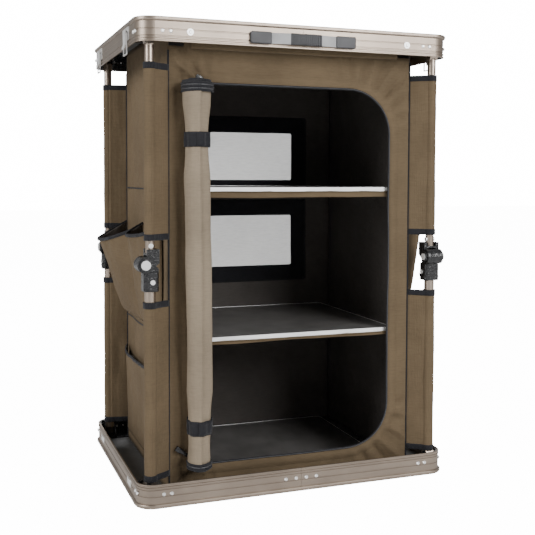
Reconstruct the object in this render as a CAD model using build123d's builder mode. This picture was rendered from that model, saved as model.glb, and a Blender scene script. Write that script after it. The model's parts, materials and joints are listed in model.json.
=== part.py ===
"""Folding storage unit: two shallow framed trays joined by four folding legs, with a hung fabric cabinet.

Millimetres. The origin is the centre of the base's underside, +Z is up and the open front faces -Y.
"""
from math import acos, degrees

from build123d import *
import os

os.makedirs("parts", exist_ok=True)

# Overall size, over the flat bands of the two frames
WIDTH = 600
DEPTH = 455
HEIGHT = 845
CORNER_R = 30

# Frame extrusion, seen in section
RIM_H = 42
RIM_WALL = 2.2
BEAD_OUT = 3.5
BEAD_H = 7.6
BAND_TOP = 19.5
GROOVE_DEPTH = 0.9
GROOVE_H = 2.6
SECOND_BAND_TOP = 31.5
LIP_OUT = 0.8
FLANGE_T = 2
FLANGE_REACH = 14
JOINT_GAP = 0.4

# Boards
PANEL_Z = 3
PANEL_T = 4
PANEL_CLEAR = 0.3
SHELF_T = 7
SHELF_CLEAR_X = 28
SHELF_CLEAR_Y = 9
SHELF_R = 14
EDGE_T = 1.2
EDGE_LIP = 0.6
SLING_T = 1.5
LOWER_SHELF_TOP = 283
UPPER_SHELF_DROP = 290
FLOOR_BOARD_T = 6

# Legs: tube axis to the band the leg folds along, and to the other band
LEG_TO_FRONT = 25
LEG_TO_SIDE = 25
TURNED_LEG_TO_SIDE = 25
TURNED_LEG_TO_FRONT = 22
LOWER_TUBE_D = 19
UPPER_TUBE_D = 16
TUBE_WALL = 1.5
KNEE_OFFSET = 11
FOOT_PIVOT_Z = 30
TUBE_START = 30
LUG_R = 5.6
LUG_TOP = 46
LUG_HALF_T = 8
FOOT_PIN_D = 5
KNEE_PIN_D = 8
PIN_CLEAR = 0.08
FIT = 0.15

# Knuckle, measured from the knee pin unless it says otherwise
SLEEVE_LOW = 46.5
SLEEVE_HIGH = 13.5
SLEEVE_OUT = 13.5
SLEEVE_IN = 13.5
SLEEVE_HALF_T = 15.5
SOCKET_STOP = 20
TONGUE_HALF_T = 9.2
TONGUE_R = 14
CHEEK_GAP = 9.5
CHEEK_HALF_T = 16
CHEEK_R = 14.2
CHEEK_OUT = 8
HORN_TOP = 27
BRIDGE_LOW = 16.2
SPIGOT_TOP = 42
BOSS_R = 11
BOSS_HALF_T = 18.5
PIN_HEAD_R = 8.3
PIN_HEAD_T = 2.4
CROSS_RIVET_D = 5
LOWER_RIVET_DROP = 30
LOWER_RIVET_IN = 1.5
UPPER_RIVET_RISE = 32.5
CROSS_HEAD_R = 4.3
FORK_RIVET_HALF = 7.2

# Corner brackets
BRACKET_WALL = 3
BRACKET_FLOOR = 2
BRACKET_LONG = 92.8
BRACKET_SHORT = 37
BRACKET_TOP = 41
EAR_GAP = 9.8
EAR_T = 2
EAR_REACH = 13
RIB_T = 2.4

# Rivets through the frames
RIVET_Z = 24
RIVET_D = 4
RIVET_HEAD_D = 7.2
RIVET_HEAD_H = 1.8
RIVET_TAPER = 36
CORNER_RIVETS_IN_X = (43, 57)
CORNER_RIVETS_IN_Y = (21.5, 35.5)
SPLICE_RIVETS_X = (-30, -10, 10, 30)
WASHER_RIVET_IN = 91
WASHER_D = 12
SPLICE_LENGTH = 90
SPLICE_T = 2
SPLICE_LOW = 15
SPLICE_HIGH = 38

# Carry handle on the upper frame
HANDLE_DROP = 16
HANDLE_H = 21
HANDLE_CAP_IN = 62
HANDLE_CAP_OUT = 101
HANDLE_CAP_PROUD = 7
STRAP_H = 19
STRAP_T = 3
STRAP_GAP = 1.2
STRAP_BOW = 4
STRAP_TUCK = 14
RIB_COUNT = 17
RIB_PITCH = 3.4
RIB_DEEP = 0.8

# Case latches
LATCH_IN = 87.5
LATCH_PLATE_W = 32
LATCH_PLATE_T = 1.5
LATCH_EAR_T = 1.4
LATCH_PLATE_DROP = 8
LATCH_PLATE_H = 23
LATCH_PIVOT_DROP = 14
LATCH_PIVOT_OUT = 4.2
LEVER_W = 20
LEVER_L = 32
LEVER_EYE_R = 2.4
EYE_PIN_D = 2
BAIL_PIVOT_DROP = 8
BAIL_WIRE_D = 2
BAIL_HALF_W = 13
EYE_CLEAR = 0.05
BAIL_LENGTH = 34.4
KEEPER_W = 18
KEEPER_PLATE_W = 30
KEEPER_LOW = 17
KEEPER_HIGH = 29
KEEPER_OUT = 3

# Fabric
CLOTH_T = 2
COVER_IN_X = 62
COVER_IN_Y = 40.5
COVER_GAP = 0.3
OPENING_JAMB = 43
OPENING_LOW = 56
OPENING_DROP = 105
OPENING_R = 85
WINDOW_JAMB = 91
WINDOW_SILL = 368
WINDOW_DROPS = (351, 283, 165)
WINDOW_R = 10
LEG_CLOTH_LOW = 46
LEG_CLOTH_GAP = (66.5, 40.5)
LEG_CLOTH_DROP = 75
SLEEVE_CLOTH_T = 1.5
SLEEVE_EASE = 0.5
ROLL_OVERLAP = 5
ROLL_STAND = 1.7
ROLL_R = 22.5
ROLL_PINCH = 2.5
ROLL_LOW = 62
ROLL_RISE = 2
ROLL_STRAP_LOW = (118, 146)
ROLL_STRAP_DROPS = (116, 90)
ROLL_STRAP_T = 1.4
ZIP_W = 8
ZIP_T = 1.5
SLIDER_SIZE = (9, 5, 16)
POCKET_LOW = 290
POCKET_MOUTH = 470
POCKET_IN_FRONT = 37
POCKET_IN_BACK = 7
POCKET_BULGE = 56
RIGHT_POCKET_BULGE = 42
LOW_POCKET_LOW = 30
LOW_POCKET_MOUTH = 190
LOW_POCKET_BULGE = 6

# Worked out
HALF_W = WIDTH / 2
HALF_D = DEPTH / 2
MID_Z = HEIGHT / 2
COVER_X = HALF_W - COVER_IN_X
COVER_Y = HALF_D - COVER_IN_Y
SHELF_X = COVER_X - SHELF_CLEAR_X
SHELF_Y = COVER_Y - SHELF_CLEAR_Y
UPPER_SHELF_TOP = HEIGHT - UPPER_SHELF_DROP
CORNER_RIVETS_X = [HALF_W - inset for inset in CORNER_RIVETS_IN_X]
CORNER_RIVETS_Y = [HALF_D - inset for inset in CORNER_RIVETS_IN_Y]
WASHER_RIVET_X = HALF_W - WASHER_RIVET_IN
HANDLE_HIGH = HEIGHT - HANDLE_DROP
HANDLE_LOW = HANDLE_HIGH - HANDLE_H
LATCH_Y = HALF_D - LATCH_IN
LATCH_PLATE_HIGH = HEIGHT - LATCH_PLATE_DROP
LATCH_PLATE_LOW = LATCH_PLATE_HIGH - LATCH_PLATE_H
LATCH_PIVOT_Z = HEIGHT - LATCH_PIVOT_DROP
LEVER_TIP_Z = LATCH_PIVOT_Z - LEVER_L
OPENING_X = COVER_X - OPENING_JAMB
OPENING_HIGH = HEIGHT - OPENING_DROP
WINDOW_X = COVER_X - WINDOW_JAMB
WINDOW_BANDS = ((WINDOW_SILL, HEIGHT - WINDOW_DROPS[0]), (HEIGHT - WINDOW_DROPS[1], HEIGHT - WINDOW_DROPS[2]))
LOWER_SLEEVE = (LEG_CLOTH_LOW, MID_Z - LEG_CLOTH_GAP[0])
UPPER_SLEEVE = (MID_Z + LEG_CLOTH_GAP[1], HEIGHT - LEG_CLOTH_DROP)
ROLL_X = ROLL_OVERLAP - OPENING_X
ROLL_Y = -COVER_Y - ROLL_R - ROLL_STAND
ROLL_HIGH = OPENING_HIGH + ROLL_RISE
ROLL_STRAPS = (ROLL_STRAP_LOW, tuple(ROLL_HIGH - drop for drop in ROLL_STRAP_DROPS))
POCKET_FRONT = POCKET_IN_FRONT - COVER_Y
POCKET_BACK = COVER_Y - POCKET_IN_BACK
PANEL_TOP = PANEL_Z + PANEL_T
HALF_LEG = MID_Z - FOOT_PIVOT_Z
CLOSED_PIVOT_RISE = 2 * RIM_H - 2 * FOOT_PIVOT_Z
FOLD_ANGLE = degrees(acos(CLOSED_PIVOT_RISE / (2 * HALF_LEG)))
CORNERS = {
    "front_left": (-HALF_W + LEG_TO_SIDE, -HALF_D + LEG_TO_FRONT, 0),
    "front_right": (HALF_W - TURNED_LEG_TO_SIDE, -HALF_D + TURNED_LEG_TO_FRONT, 90),
    "back_right": (HALF_W - LEG_TO_SIDE, HALF_D - LEG_TO_FRONT, 180),
    "back_left": (-HALF_W + TURNED_LEG_TO_SIDE, HALF_D - TURNED_LEG_TO_FRONT, 270),
}
print("fold angle", FOLD_ANGLE, "leg half length", HALF_LEG)


def save(piece, name):
    """Label a finished piece and write it."""
    piece.part.label = name
    export_step(piece.part, f"parts/{name}.step")


def corner_place(corner):
    """Place of a leg: its tube axis on the floor, turned so that local +X is its folding direction."""
    x, y, turn = CORNERS[corner]
    return Location((x, y, 0), (0, 0, turn))


def face_plane(x, y, z, outward):
    """A plane on a frame's band, with its normal pointing outwards."""
    return Plane(origin=(x, y, z), x_dir=Vector(0, 0, 1).cross(Vector(*outward)), z_dir=Vector(*outward))


# Where the rivets go: (x, y, outward direction)
CORNER_RIVETS = [(side * x, end * HALF_D, (0, end, 0))
                 for side in (-1, 1) for end in (-1, 1) for x in CORNER_RIVETS_X]
CORNER_RIVETS += [(side * HALF_W, end * y, (side, 0, 0))
                  for side in (-1, 1) for end in (-1, 1) for y in CORNER_RIVETS_Y]
SPLICE_RIVETS = [(x, end * HALF_D, (0, end, 0)) for end in (-1, 1) for x in SPLICE_RIVETS_X]
WASHER_RIVETS = [(side * WASHER_RIVET_X, -HALF_D, (0, -1, 0)) for side in (-1, 1)]
BACK_SPLICE_RIVETS = [place for place in SPLICE_RIVETS if place[1] > 0]


def rivet_holes(places, z, depth):
    """Cut the rivet holes through whatever wall stands at the band."""
    for x, y, outward in places:
        with BuildSketch(face_plane(x, y, z, outward)) as hole:
            RegularPolygon(RIVET_D / 2, 8)
        extrude(hole.sketch, amount=-depth, mode=Mode.SUBTRACT)


def rim_path():
    """The left half of the frame's outline, from the front joint round to the back joint."""
    end_x = -JOINT_GAP / 2
    Line((end_x, -HALF_D), (-HALF_W + CORNER_R, -HALF_D))
    CenterArc((-HALF_W + CORNER_R, -HALF_D + CORNER_R), CORNER_R, 270, -90)
    Line((-HALF_W, -HALF_D + CORNER_R), (-HALF_W, HALF_D - CORNER_R))
    CenterArc((-HALF_W + CORNER_R, HALF_D - CORNER_R), CORNER_R, 180, -90)
    Line((-HALF_W + CORNER_R, HALF_D), (end_x, HALF_D))


def rim_section():
    """Section of the frame: thick bead, two bands parted by grooves, slim lip, and a ledge for the panel."""
    groove_2 = SECOND_BAND_TOP + GROOVE_H
    Polyline(
        (-0.6, 0), (BEAD_OUT - 1.6, 0), (BEAD_OUT, 1.6), (BEAD_OUT, 5.2), (BEAD_OUT - 1.4, 6.9), (0, BEAD_H),
        (0, BAND_TOP), (-GROOVE_DEPTH, BAND_TOP + 0.6), (-GROOVE_DEPTH, BAND_TOP + GROOVE_H - 0.6),
        (0, BAND_TOP + GROOVE_H), (0, SECOND_BAND_TOP), (-GROOVE_DEPTH, SECOND_BAND_TOP + 0.6),
        (-GROOVE_DEPTH, groove_2 - 0.6), (LIP_OUT, groove_2 + 0.4), (LIP_OUT, groove_2 + 2.2),
        (-0.4, groove_2 + 3), (-0.4, RIM_H - 3), (LIP_OUT, RIM_H - 2.2), (LIP_OUT, RIM_H - 0.6), (0.2, RIM_H),
        (-RIM_WALL, RIM_H), (-RIM_WALL, PANEL_Z), (-FLANGE_REACH, PANEL_Z),
        (-FLANGE_REACH, PANEL_Z - FLANGE_T), (-1.6, PANEL_Z - FLANGE_T), (-0.6, 0), close=True)


with BuildPart() as base_rim_left:
    with BuildLine() as outline:
        rim_path()
    with BuildSketch(Plane(origin=(-JOINT_GAP / 2, -HALF_D, 0), x_dir=(0, -1, 0), z_dir=(-1, 0, 0))):
        with BuildLine():
            rim_section()
        make_face()
    sweep(path=outline.line)
    left_places = [p for p in CORNER_RIVETS + SPLICE_RIVETS if p[0] < 0]
    rivet_holes(left_places, RIVET_Z, RIM_WALL + BEAD_OUT)
save(base_rim_left, "base_rim_left")

with BuildPart() as base_rim_right:
    mirror(base_rim_left.part, about=Plane.YZ)
save(base_rim_right, "base_rim_right")

with BuildPart() as top_rim_left:
    mirror(base_rim_left.part, about=Plane.XY.offset(MID_Z))
    rivet_holes([p for p in WASHER_RIVETS if p[0] < 0], HEIGHT - RIVET_Z, RIM_WALL + BEAD_OUT)
save(top_rim_left, "top_rim_left")

with BuildPart() as top_rim_right:
    mirror(top_rim_left.part, about=Plane.YZ)
save(top_rim_right, "top_rim_right")

# Panels held in the frames' slots
with BuildPart() as base_panel:
    inset = RIM_WALL + PANEL_CLEAR
    with BuildSketch(Plane.XY.offset(PANEL_Z)):
        RectangleRounded(WIDTH - 2 * inset, DEPTH - 2 * inset, CORNER_R - inset)
    extrude(amount=PANEL_T)
save(base_panel, "base_panel")

with BuildPart() as worktop_panel:
    mirror(base_panel.part, about=Plane.XY.offset(MID_Z))
save(worktop_panel, "worktop_panel")

# Plates that join the two halves of each frame
with BuildPart() as base_splices:
    for end in (-1, 1):
        middle = end * (HALF_D - RIM_WALL - SPLICE_T / 2)
        with BuildSketch(Plane.XZ.offset(-middle)):
            with Locations((0, (SPLICE_LOW + SPLICE_HIGH) / 2)):
                RectangleRounded(SPLICE_LENGTH, SPLICE_HIGH - SPLICE_LOW, 3)
        extrude(amount=SPLICE_T / 2, both=True)
    rivet_holes(SPLICE_RIVETS, RIVET_Z, RIM_WALL + 2 * SPLICE_T)
save(base_splices, "base_splices")

with BuildPart() as top_splices:
    mirror(base_splices.part, about=Plane.XY.offset(MID_Z))
save(top_splices, "top_splices")


def rivet(x, y, z, outward, grip):
    """A dome-headed rivet through the frame's band and the plate behind it."""
    head = face_plane(x, y, z, outward)
    with BuildSketch(head) as shank:
        RegularPolygon(RIVET_D / 2, 8)
    extrude(shank.sketch, amount=-grip)
    with BuildSketch(head) as flare:
        RegularPolygon(RIVET_HEAD_D / 2, 8)
    extrude(flare.sketch, amount=RIVET_HEAD_H, taper=RIVET_TAPER)


def pivot_pins(pivot_z):
    """The four pins that the legs turn on in one frame."""
    for corner in CORNERS:
        leg = Plane(corner_place(corner))
        eye_at = leg.origin + leg.x_dir * -KNEE_OFFSET + Vector(0, 0, pivot_z)
        across = Plane(origin=eye_at, x_dir=leg.x_dir, z_dir=leg.y_dir)
        half = EAR_GAP + EAR_T
        with BuildSketch(across) as shank:
            Circle(FOOT_PIN_D / 2)
        extrude(shank.sketch, amount=half, both=True)
        with BuildSketch(across.offset(half)) as head:
            RegularPolygon(FOOT_PIN_D * 0.72, 8)
        extrude(head.sketch, amount=1.4)


with BuildPart() as base_rivets:
    pivot_pins(FOOT_PIVOT_Z)
    for x, y, outward in CORNER_RIVETS:
        rivet(x, y, RIVET_Z, outward, RIM_WALL + BRACKET_WALL)
    for x, y, outward in SPLICE_RIVETS:
        rivet(x, y, RIVET_Z, outward, RIM_WALL + SPLICE_T)
save(base_rivets, "base_rivets")

with BuildPart() as top_rivets:
    pivot_pins(HEIGHT - FOOT_PIVOT_Z)
    for x, y, outward in CORNER_RIVETS:
        rivet(x, y, HEIGHT - RIVET_Z, outward, RIM_WALL + BRACKET_WALL)
    for x, y, outward in BACK_SPLICE_RIVETS:
        rivet(x, y, HEIGHT - RIVET_Z, outward, RIM_WALL + SPLICE_T)
    for x, y, outward in WASHER_RIVETS:
        rivet(x, y, HEIGHT - RIVET_Z, outward, RIM_WALL + BRACKET_WALL)
        with BuildSketch(face_plane(x, y, HEIGHT - RIVET_Z, outward)) as washer:
            Circle(WASHER_D / 2)
        extrude(washer.sketch, amount=0.8)
save(top_rivets, "top_rivets")


def bracket(corner):
    """A moulded corner bracket: floor and walls inside the frame, with two ears for the leg's pin."""
    leg_x, leg_y, turn = CORNERS[corner]
    side = 1 if leg_x > 0 else -1
    end = 1 if leg_y > 0 else -1
    turned = turn in (90, 270)
    inner_x = HALF_W - RIM_WALL
    inner_y = HALF_D - RIM_WALL
    inner_r = CORNER_R - RIM_WALL
    low = PANEL_TOP
    floor_top = low + BRACKET_FLOOR
    middle = (side * (inner_x - BRACKET_LONG / 2), end * (inner_y - BRACKET_SHORT / 2))
    with BuildSketch(Plane.XY.offset(low)) as plate:
        with Locations(middle):
            Rectangle(BRACKET_LONG, BRACKET_SHORT)
        RectangleRounded(2 * inner_x, 2 * inner_y, inner_r, mode=Mode.INTERSECT)
    extrude(plate.sketch, amount=BRACKET_FLOOR)
    with BuildSketch(Plane.XY.offset(floor_top)) as wall:
        with Locations(middle):
            Rectangle(BRACKET_LONG, BRACKET_SHORT)
        RectangleRounded(2 * inner_x, 2 * inner_y, inner_r, mode=Mode.INTERSECT)
        RectangleRounded(2 * (inner_x - BRACKET_WALL), 2 * (inner_y - BRACKET_WALL),
                         inner_r - BRACKET_WALL, mode=Mode.SUBTRACT)
    extrude(wall.sketch, amount=BRACKET_TOP - floor_top)
    leg = Plane(corner_place(corner))
    back_wall = -(TURNED_LEG_TO_FRONT if turned else LEG_TO_SIDE) + RIM_WALL + 1
    outer_wall = -(TURNED_LEG_TO_SIDE if turned else LEG_TO_FRONT) + RIM_WALL + 1
    # Room for the end of the leg, through the wall behind it
    slot = leg.origin + leg.x_dir * (-KNEE_OFFSET - 10) + Vector(0, 0, floor_top)
    with BuildSketch(Plane(origin=slot, x_dir=leg.x_dir)) as room:
        Rectangle(20, 2 * EAR_GAP)
    extrude(room.sketch, amount=BRACKET_TOP, mode=Mode.SUBTRACT)
    ear_end = -KNEE_OFFSET + EAR_REACH
    for y_low in (EAR_GAP, -EAR_GAP - EAR_T):
        with BuildSketch(Plane(origin=leg.origin + leg.y_dir * y_low, x_dir=leg.x_dir, z_dir=leg.y_dir)) as ear:
            with BuildLine():
                Polyline((back_wall, -low), (ear_end + 14, -low), (ear_end + 14, -low - 8),
                         (ear_end, -FOOT_PIVOT_Z), (ear_end - 5, -BRACKET_TOP), (back_wall, -BRACKET_TOP),
                         close=True)
            make_face()
        extrude(ear.sketch, amount=EAR_T)
    # Ribs from the outer ear to the wall
    rib_mid = (outer_wall - EAR_GAP - EAR_T) / 2
    rib_long = -EAR_GAP - EAR_T - outer_wall + 1
    for x_mid in (-KNEE_OFFSET - 6, -KNEE_OFFSET + 6.5):
        spot = leg.origin + leg.x_dir * x_mid + leg.y_dir * rib_mid + Vector(0, 0, low)
        with BuildSketch(Plane(origin=spot, x_dir=leg.x_dir)) as rib:
            Rectangle(RIB_T, rib_long)
        extrude(rib.sketch, amount=BRACKET_TOP - low - 3)
    eye_at = leg.origin + leg.x_dir * -KNEE_OFFSET + Vector(0, 0, FOOT_PIVOT_Z)
    with BuildSketch(Plane(origin=eye_at, x_dir=leg.x_dir, z_dir=leg.y_dir)) as eye:
        Circle(FOOT_PIN_D / 2)
    extrude(eye.sketch, amount=EAR_GAP + EAR_T + 1, both=True, mode=Mode.SUBTRACT)


with BuildPart() as base_brackets:
    for corner in CORNERS:
        bracket(corner)
    with BuildSketch(Plane.XY.offset(PANEL_TOP)):
        RectangleRounded(WIDTH - 2 * RIM_WALL, DEPTH - 2 * RIM_WALL, CORNER_R - RIM_WALL)
    extrude(amount=BRACKET_TOP - PANEL_TOP, mode=Mode.INTERSECT)
    rivet_holes(CORNER_RIVETS, RIVET_Z, RIM_WALL + BRACKET_WALL)
save(base_brackets, "base_brackets")

with BuildPart() as top_brackets:
    mirror(base_brackets.part, about=Plane.XY.offset(MID_Z))
    rivet_holes(WASHER_RIVETS, HEIGHT - RIVET_Z, RIM_WALL + BRACKET_WALL)
save(top_brackets, "top_brackets")


# One leg, drawn with its tube axis on Z and folding towards +X; the four corners repeat it
def end_lug(pivot_z, toward, tube_r):
    """The solid end of a tube, with the eye for its pivot pin beside the tube."""
    with BuildSketch(Plane.XZ) as lug:
        with Locations((-KNEE_OFFSET, pivot_z)):
            Circle(LUG_R)
        with BuildLine():
            Polyline((-KNEE_OFFSET, pivot_z), (tube_r - 2, pivot_z),
                     (tube_r - 2, pivot_z + toward * (LUG_TOP - FOOT_PIVOT_Z)),
                     (-tube_r + 2, pivot_z + toward * (LUG_TOP - FOOT_PIVOT_Z)),
                     (-KNEE_OFFSET - LUG_R, pivot_z), close=True)
        make_face()
    extrude(lug.sketch, amount=LUG_HALF_T, both=True)
    with BuildSketch(Plane.XZ) as eye:
        with Locations((-KNEE_OFFSET, pivot_z)):
            Circle(FOOT_PIN_D / 2 + PIN_CLEAR / 2)
    extrude(eye.sketch, amount=LOWER_TUBE_D, both=True, mode=Mode.SUBTRACT)


def cross_hole(x, z, half):
    """A rivet hole straight through, along Y."""
    with BuildSketch(Plane.XZ) as hole:
        with Locations((x, z)):
            RegularPolygon(CROSS_RIVET_D / 2, 8)
    extrude(hole.sketch, amount=half, both=True, mode=Mode.SUBTRACT)


def cross_rivet(x, z, half):
    """A rivet along Y with a low head at each end."""
    with BuildSketch(Plane.XZ) as shank:
        with Locations((x, z)):
            RegularPolygon(CROSS_RIVET_D / 2, 8)
    extrude(shank.sketch, amount=half, both=True)
    for face in (Plane.XZ.offset(half), Plane.XZ.offset(-half - 1.8)):
        with BuildSketch(face) as head:
            with Locations((x, z)):
                RegularPolygon(CROSS_HEAD_R, 12)
        extrude(head.sketch, amount=1.8)


lower_rivet_z = MID_Z - LOWER_RIVET_DROP
upper_rivet_z = MID_Z + UPPER_RIVET_RISE

with BuildPart() as lower_tube:
    with BuildSketch(Plane.XY.offset(TUBE_START)):
        Circle(LOWER_TUBE_D / 2)
        Circle(LOWER_TUBE_D / 2 - TUBE_WALL, mode=Mode.SUBTRACT)
    extrude(amount=MID_Z - SOCKET_STOP - TUBE_START - FIT)
    end_lug(FOOT_PIVOT_Z, 1, LOWER_TUBE_D / 2)
    cross_hole(LOWER_RIVET_IN, lower_rivet_z, SLEEVE_HALF_T)

with BuildPart() as upper_tube:
    tube_low = MID_Z + BRIDGE_LOW + 4 + FIT
    with BuildSketch(Plane.XY.offset(tube_low)):
        Circle(UPPER_TUBE_D / 2)
        Circle(UPPER_TUBE_D / 2 - TUBE_WALL, mode=Mode.SUBTRACT)
    extrude(amount=HEIGHT - TUBE_START - tube_low)
    end_lug(HEIGHT - FOOT_PIVOT_Z, -1, UPPER_TUBE_D / 2)
    cross_hole(0, upper_rivet_z, UPPER_TUBE_D)
    # Flat seats for the rivet heads
    for face in (Plane.XZ.offset(FORK_RIVET_HALF), Plane.XZ.offset(-FORK_RIVET_HALF - 3)):
        with BuildSketch(face):
            with Locations((0, upper_rivet_z)):
                RegularPolygon(CROSS_HEAD_R + 0.1, 12)
        extrude(amount=3, mode=Mode.SUBTRACT)

with BuildPart() as knuckle_lower:
    # Sleeve that takes the lower tube
    with BuildSketch(Plane.XY.offset(MID_Z - SLEEVE_LOW)):
        with Locations(((SLEEVE_IN - SLEEVE_OUT) / 2, 0)):
            RectangleRounded(SLEEVE_IN + SLEEVE_OUT, 2 * SLEEVE_HALF_T, 7)
    extrude(amount=SLEEVE_LOW - SLEEVE_HIGH)
    chamfer(knuckle_lower.edges().group_by(Axis.Z)[0], 1)
    # Room for the cheeks of the upper half
    for y_mid in (CHEEK_GAP + 5, -CHEEK_GAP - 5):
        with BuildSketch(Plane.XZ.offset(-y_mid)):
            with Locations((-KNEE_OFFSET, MID_Z)):
                Circle(CHEEK_R + 0.9)
        extrude(amount=5 + CHEEK_GAP - TONGUE_HALF_T, both=True, mode=Mode.SUBTRACT)
    # Tongue with the eye of the knee
    with BuildSketch(Plane.XZ):
        with Locations((-KNEE_OFFSET, MID_Z)):
            Circle(TONGUE_R)
        with BuildLine():
            Polyline((-SLEEVE_OUT, MID_Z - SLEEVE_HIGH - 2), (SLEEVE_IN, MID_Z - SLEEVE_HIGH - 2),
                     (SLEEVE_IN, MID_Z - 7), (2, MID_Z + 5), (-KNEE_OFFSET, MID_Z + 8), close=True)
        make_face()
    extrude(amount=TONGUE_HALF_T, both=True)
    with BuildSketch(Plane.XZ):
        with Locations((-KNEE_OFFSET, MID_Z)):
            Circle(KNEE_PIN_D / 2 + FIT / 3)
    extrude(amount=2 * TONGUE_HALF_T, both=True, mode=Mode.SUBTRACT)
    with BuildSketch(Plane.XY.offset(MID_Z - SLEEVE_LOW)):
        Circle(LOWER_TUBE_D / 2 + FIT)
    extrude(amount=SLEEVE_LOW - SOCKET_STOP, mode=Mode.SUBTRACT)
    cross_hole(LOWER_RIVET_IN, lower_rivet_z, SLEEVE_HALF_T + 1)
    # Raised cross bars on the two flat faces
    for y_face in (SLEEVE_HALF_T - 0.3, -SLEEVE_HALF_T - 0.5):
        for x_mid, turn in ((-6, 52), (9, 52)):
            with BuildSketch(Plane.XZ.offset(-y_face - 0.8)):
                with Locations(Location((x_mid, MID_Z - 37, 0), (0, 0, turn))):
                    SlotOverall(9, 1.8)
            extrude(amount=0.8)

with BuildPart() as knuckle_upper:
    for y_low in (CHEEK_GAP, -CHEEK_HALF_T):
        with BuildSketch(Plane.XZ.offset(-y_low - (CHEEK_HALF_T - CHEEK_GAP))):
            with Locations((-KNEE_OFFSET, MID_Z)):
                Circle(CHEEK_R)
            with BuildLine():
                Polyline((-CHEEK_OUT, MID_Z + 10), (-CHEEK_OUT, MID_Z + HORN_TOP), (SLEEVE_IN, MID_Z + HORN_TOP),
                         (SLEEVE_IN, MID_Z + 3), (2.5, MID_Z - 5), (-KNEE_OFFSET, MID_Z), close=True)
            make_face()
        extrude(amount=CHEEK_HALF_T - CHEEK_GAP)
    # Bridge and web between the cheeks
    with BuildSketch(Plane.XZ):
        with BuildLine():
            Polyline((-CHEEK_OUT, MID_Z + BRIDGE_LOW), (9, MID_Z + BRIDGE_LOW), (9, MID_Z + 6),
                     (SLEEVE_IN, MID_Z + 6), (SLEEVE_IN, MID_Z + HORN_TOP), (9, MID_Z + HORN_TOP),
                     (9, MID_Z + BRIDGE_LOW + 4), (-CHEEK_OUT, MID_Z + BRIDGE_LOW + 4), close=True)
        make_face()
    extrude(amount=CHEEK_GAP, both=True)
    # Spigot inside the upper tube
    with BuildSketch(Plane.XY.offset(MID_Z + BRIDGE_LOW + 2)):
        Circle(UPPER_TUBE_D / 2 - TUBE_WALL - FIT)
    extrude(amount=SPIGOT_TOP - BRIDGE_LOW - 2)
    # Bosses round the knee pin
    for y_face in (CHEEK_HALF_T, -BOSS_HALF_T):
        with BuildSketch(Plane.XZ.offset(-y_face - (BOSS_HALF_T - CHEEK_HALF_T))):
            with Locations((-KNEE_OFFSET, MID_Z)):
                Circle(BOSS_R)
        extrude(amount=BOSS_HALF_T - CHEEK_HALF_T)
    with BuildSketch(Plane.XZ):
        with Locations((-KNEE_OFFSET, MID_Z)):
            Circle(KNEE_PIN_D / 2 + PIN_CLEAR)
    extrude(amount=BOSS_HALF_T + 1, both=True, mode=Mode.SUBTRACT)
    cross_hole(0, upper_rivet_z, UPPER_TUBE_D)

with BuildPart() as knee_pin:
    with BuildSketch(Plane.XZ):
        with Locations((-KNEE_OFFSET, MID_Z)):
            Circle(KNEE_PIN_D / 2)
    extrude(amount=BOSS_HALF_T + PIN_CLEAR, both=True)
    with BuildSketch(Plane.XZ.offset(BOSS_HALF_T + PIN_CLEAR)):
        with Locations((-KNEE_OFFSET, MID_Z)):
            Circle(PIN_HEAD_R)
    extrude(amount=PIN_HEAD_T)
    with BuildSketch(Plane.XZ.offset(-BOSS_HALF_T - PIN_CLEAR - PIN_HEAD_T)):
        with Locations((-KNEE_OFFSET, MID_Z)):
            RegularPolygon(PIN_HEAD_R - 1.5, 6)
    extrude(amount=PIN_HEAD_T)
    cross_rivet(LOWER_RIVET_IN, lower_rivet_z, SLEEVE_HALF_T)

with BuildPart() as upper_rivet:
    cross_rivet(0, upper_rivet_z, FORK_RIVET_HALF)

LEG_PIECES = {
    "lower_tube": lower_tube, "knuckle_lower": knuckle_lower, "knee_pin": knee_pin,
    "upper_tube": upper_tube, "knuckle_upper": knuckle_upper, "upper_rivet": upper_rivet,
}
for corner in CORNERS:
    for piece_name, piece in LEG_PIECES.items():
        with BuildPart() as placed:
            with Locations(corner_place(corner)):
                add(piece.part)
        save(placed, f"{piece_name}_{corner}")

# Carry handle: two end caps and the sprung strap between them
with BuildPart() as handle_end_caps:
    middle_z = (HANDLE_LOW + HANDLE_HIGH) / 2
    cap_w = HANDLE_CAP_OUT - HANDLE_CAP_IN
    for side in (-1, 1):
        with BuildSketch(Plane.XZ.offset(HALF_D)):
            with Locations((side * (HANDLE_CAP_IN + cap_w / 2), middle_z)):
                RectangleRounded(cap_w, HANDLE_HIGH - HANDLE_LOW, 3)
        extrude(amount=HANDLE_CAP_PROUD)
    chamfer(handle_end_caps.edges().group_by(Axis.Y)[0], 1.3)
    # Recess over the frame's small bead
    bead_top = HEIGHT - SECOND_BAND_TOP - GROOVE_H + 0.6
    with BuildSketch(Plane.XZ.offset(HALF_D)):
        with Locations((0, (HANDLE_LOW + bead_top) / 2)):
            Rectangle(2 * HANDLE_CAP_OUT, bead_top - HANDLE_LOW)
    extrude(amount=LIP_OUT + 0.1, mode=Mode.SUBTRACT)
    # Pocket in each cap for the end of the strap
    tuck_in = HANDLE_CAP_IN + STRAP_TUCK + 2
    with BuildSketch(Plane.XZ.offset(HALF_D + STRAP_GAP - 0.6)):
        with Locations((0, middle_z)):
            Rectangle(2 * tuck_in, STRAP_H + 1)
    extrude(amount=STRAP_T + 1.2, mode=Mode.SUBTRACT)
save(handle_end_caps, "handle_end_caps")

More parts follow.
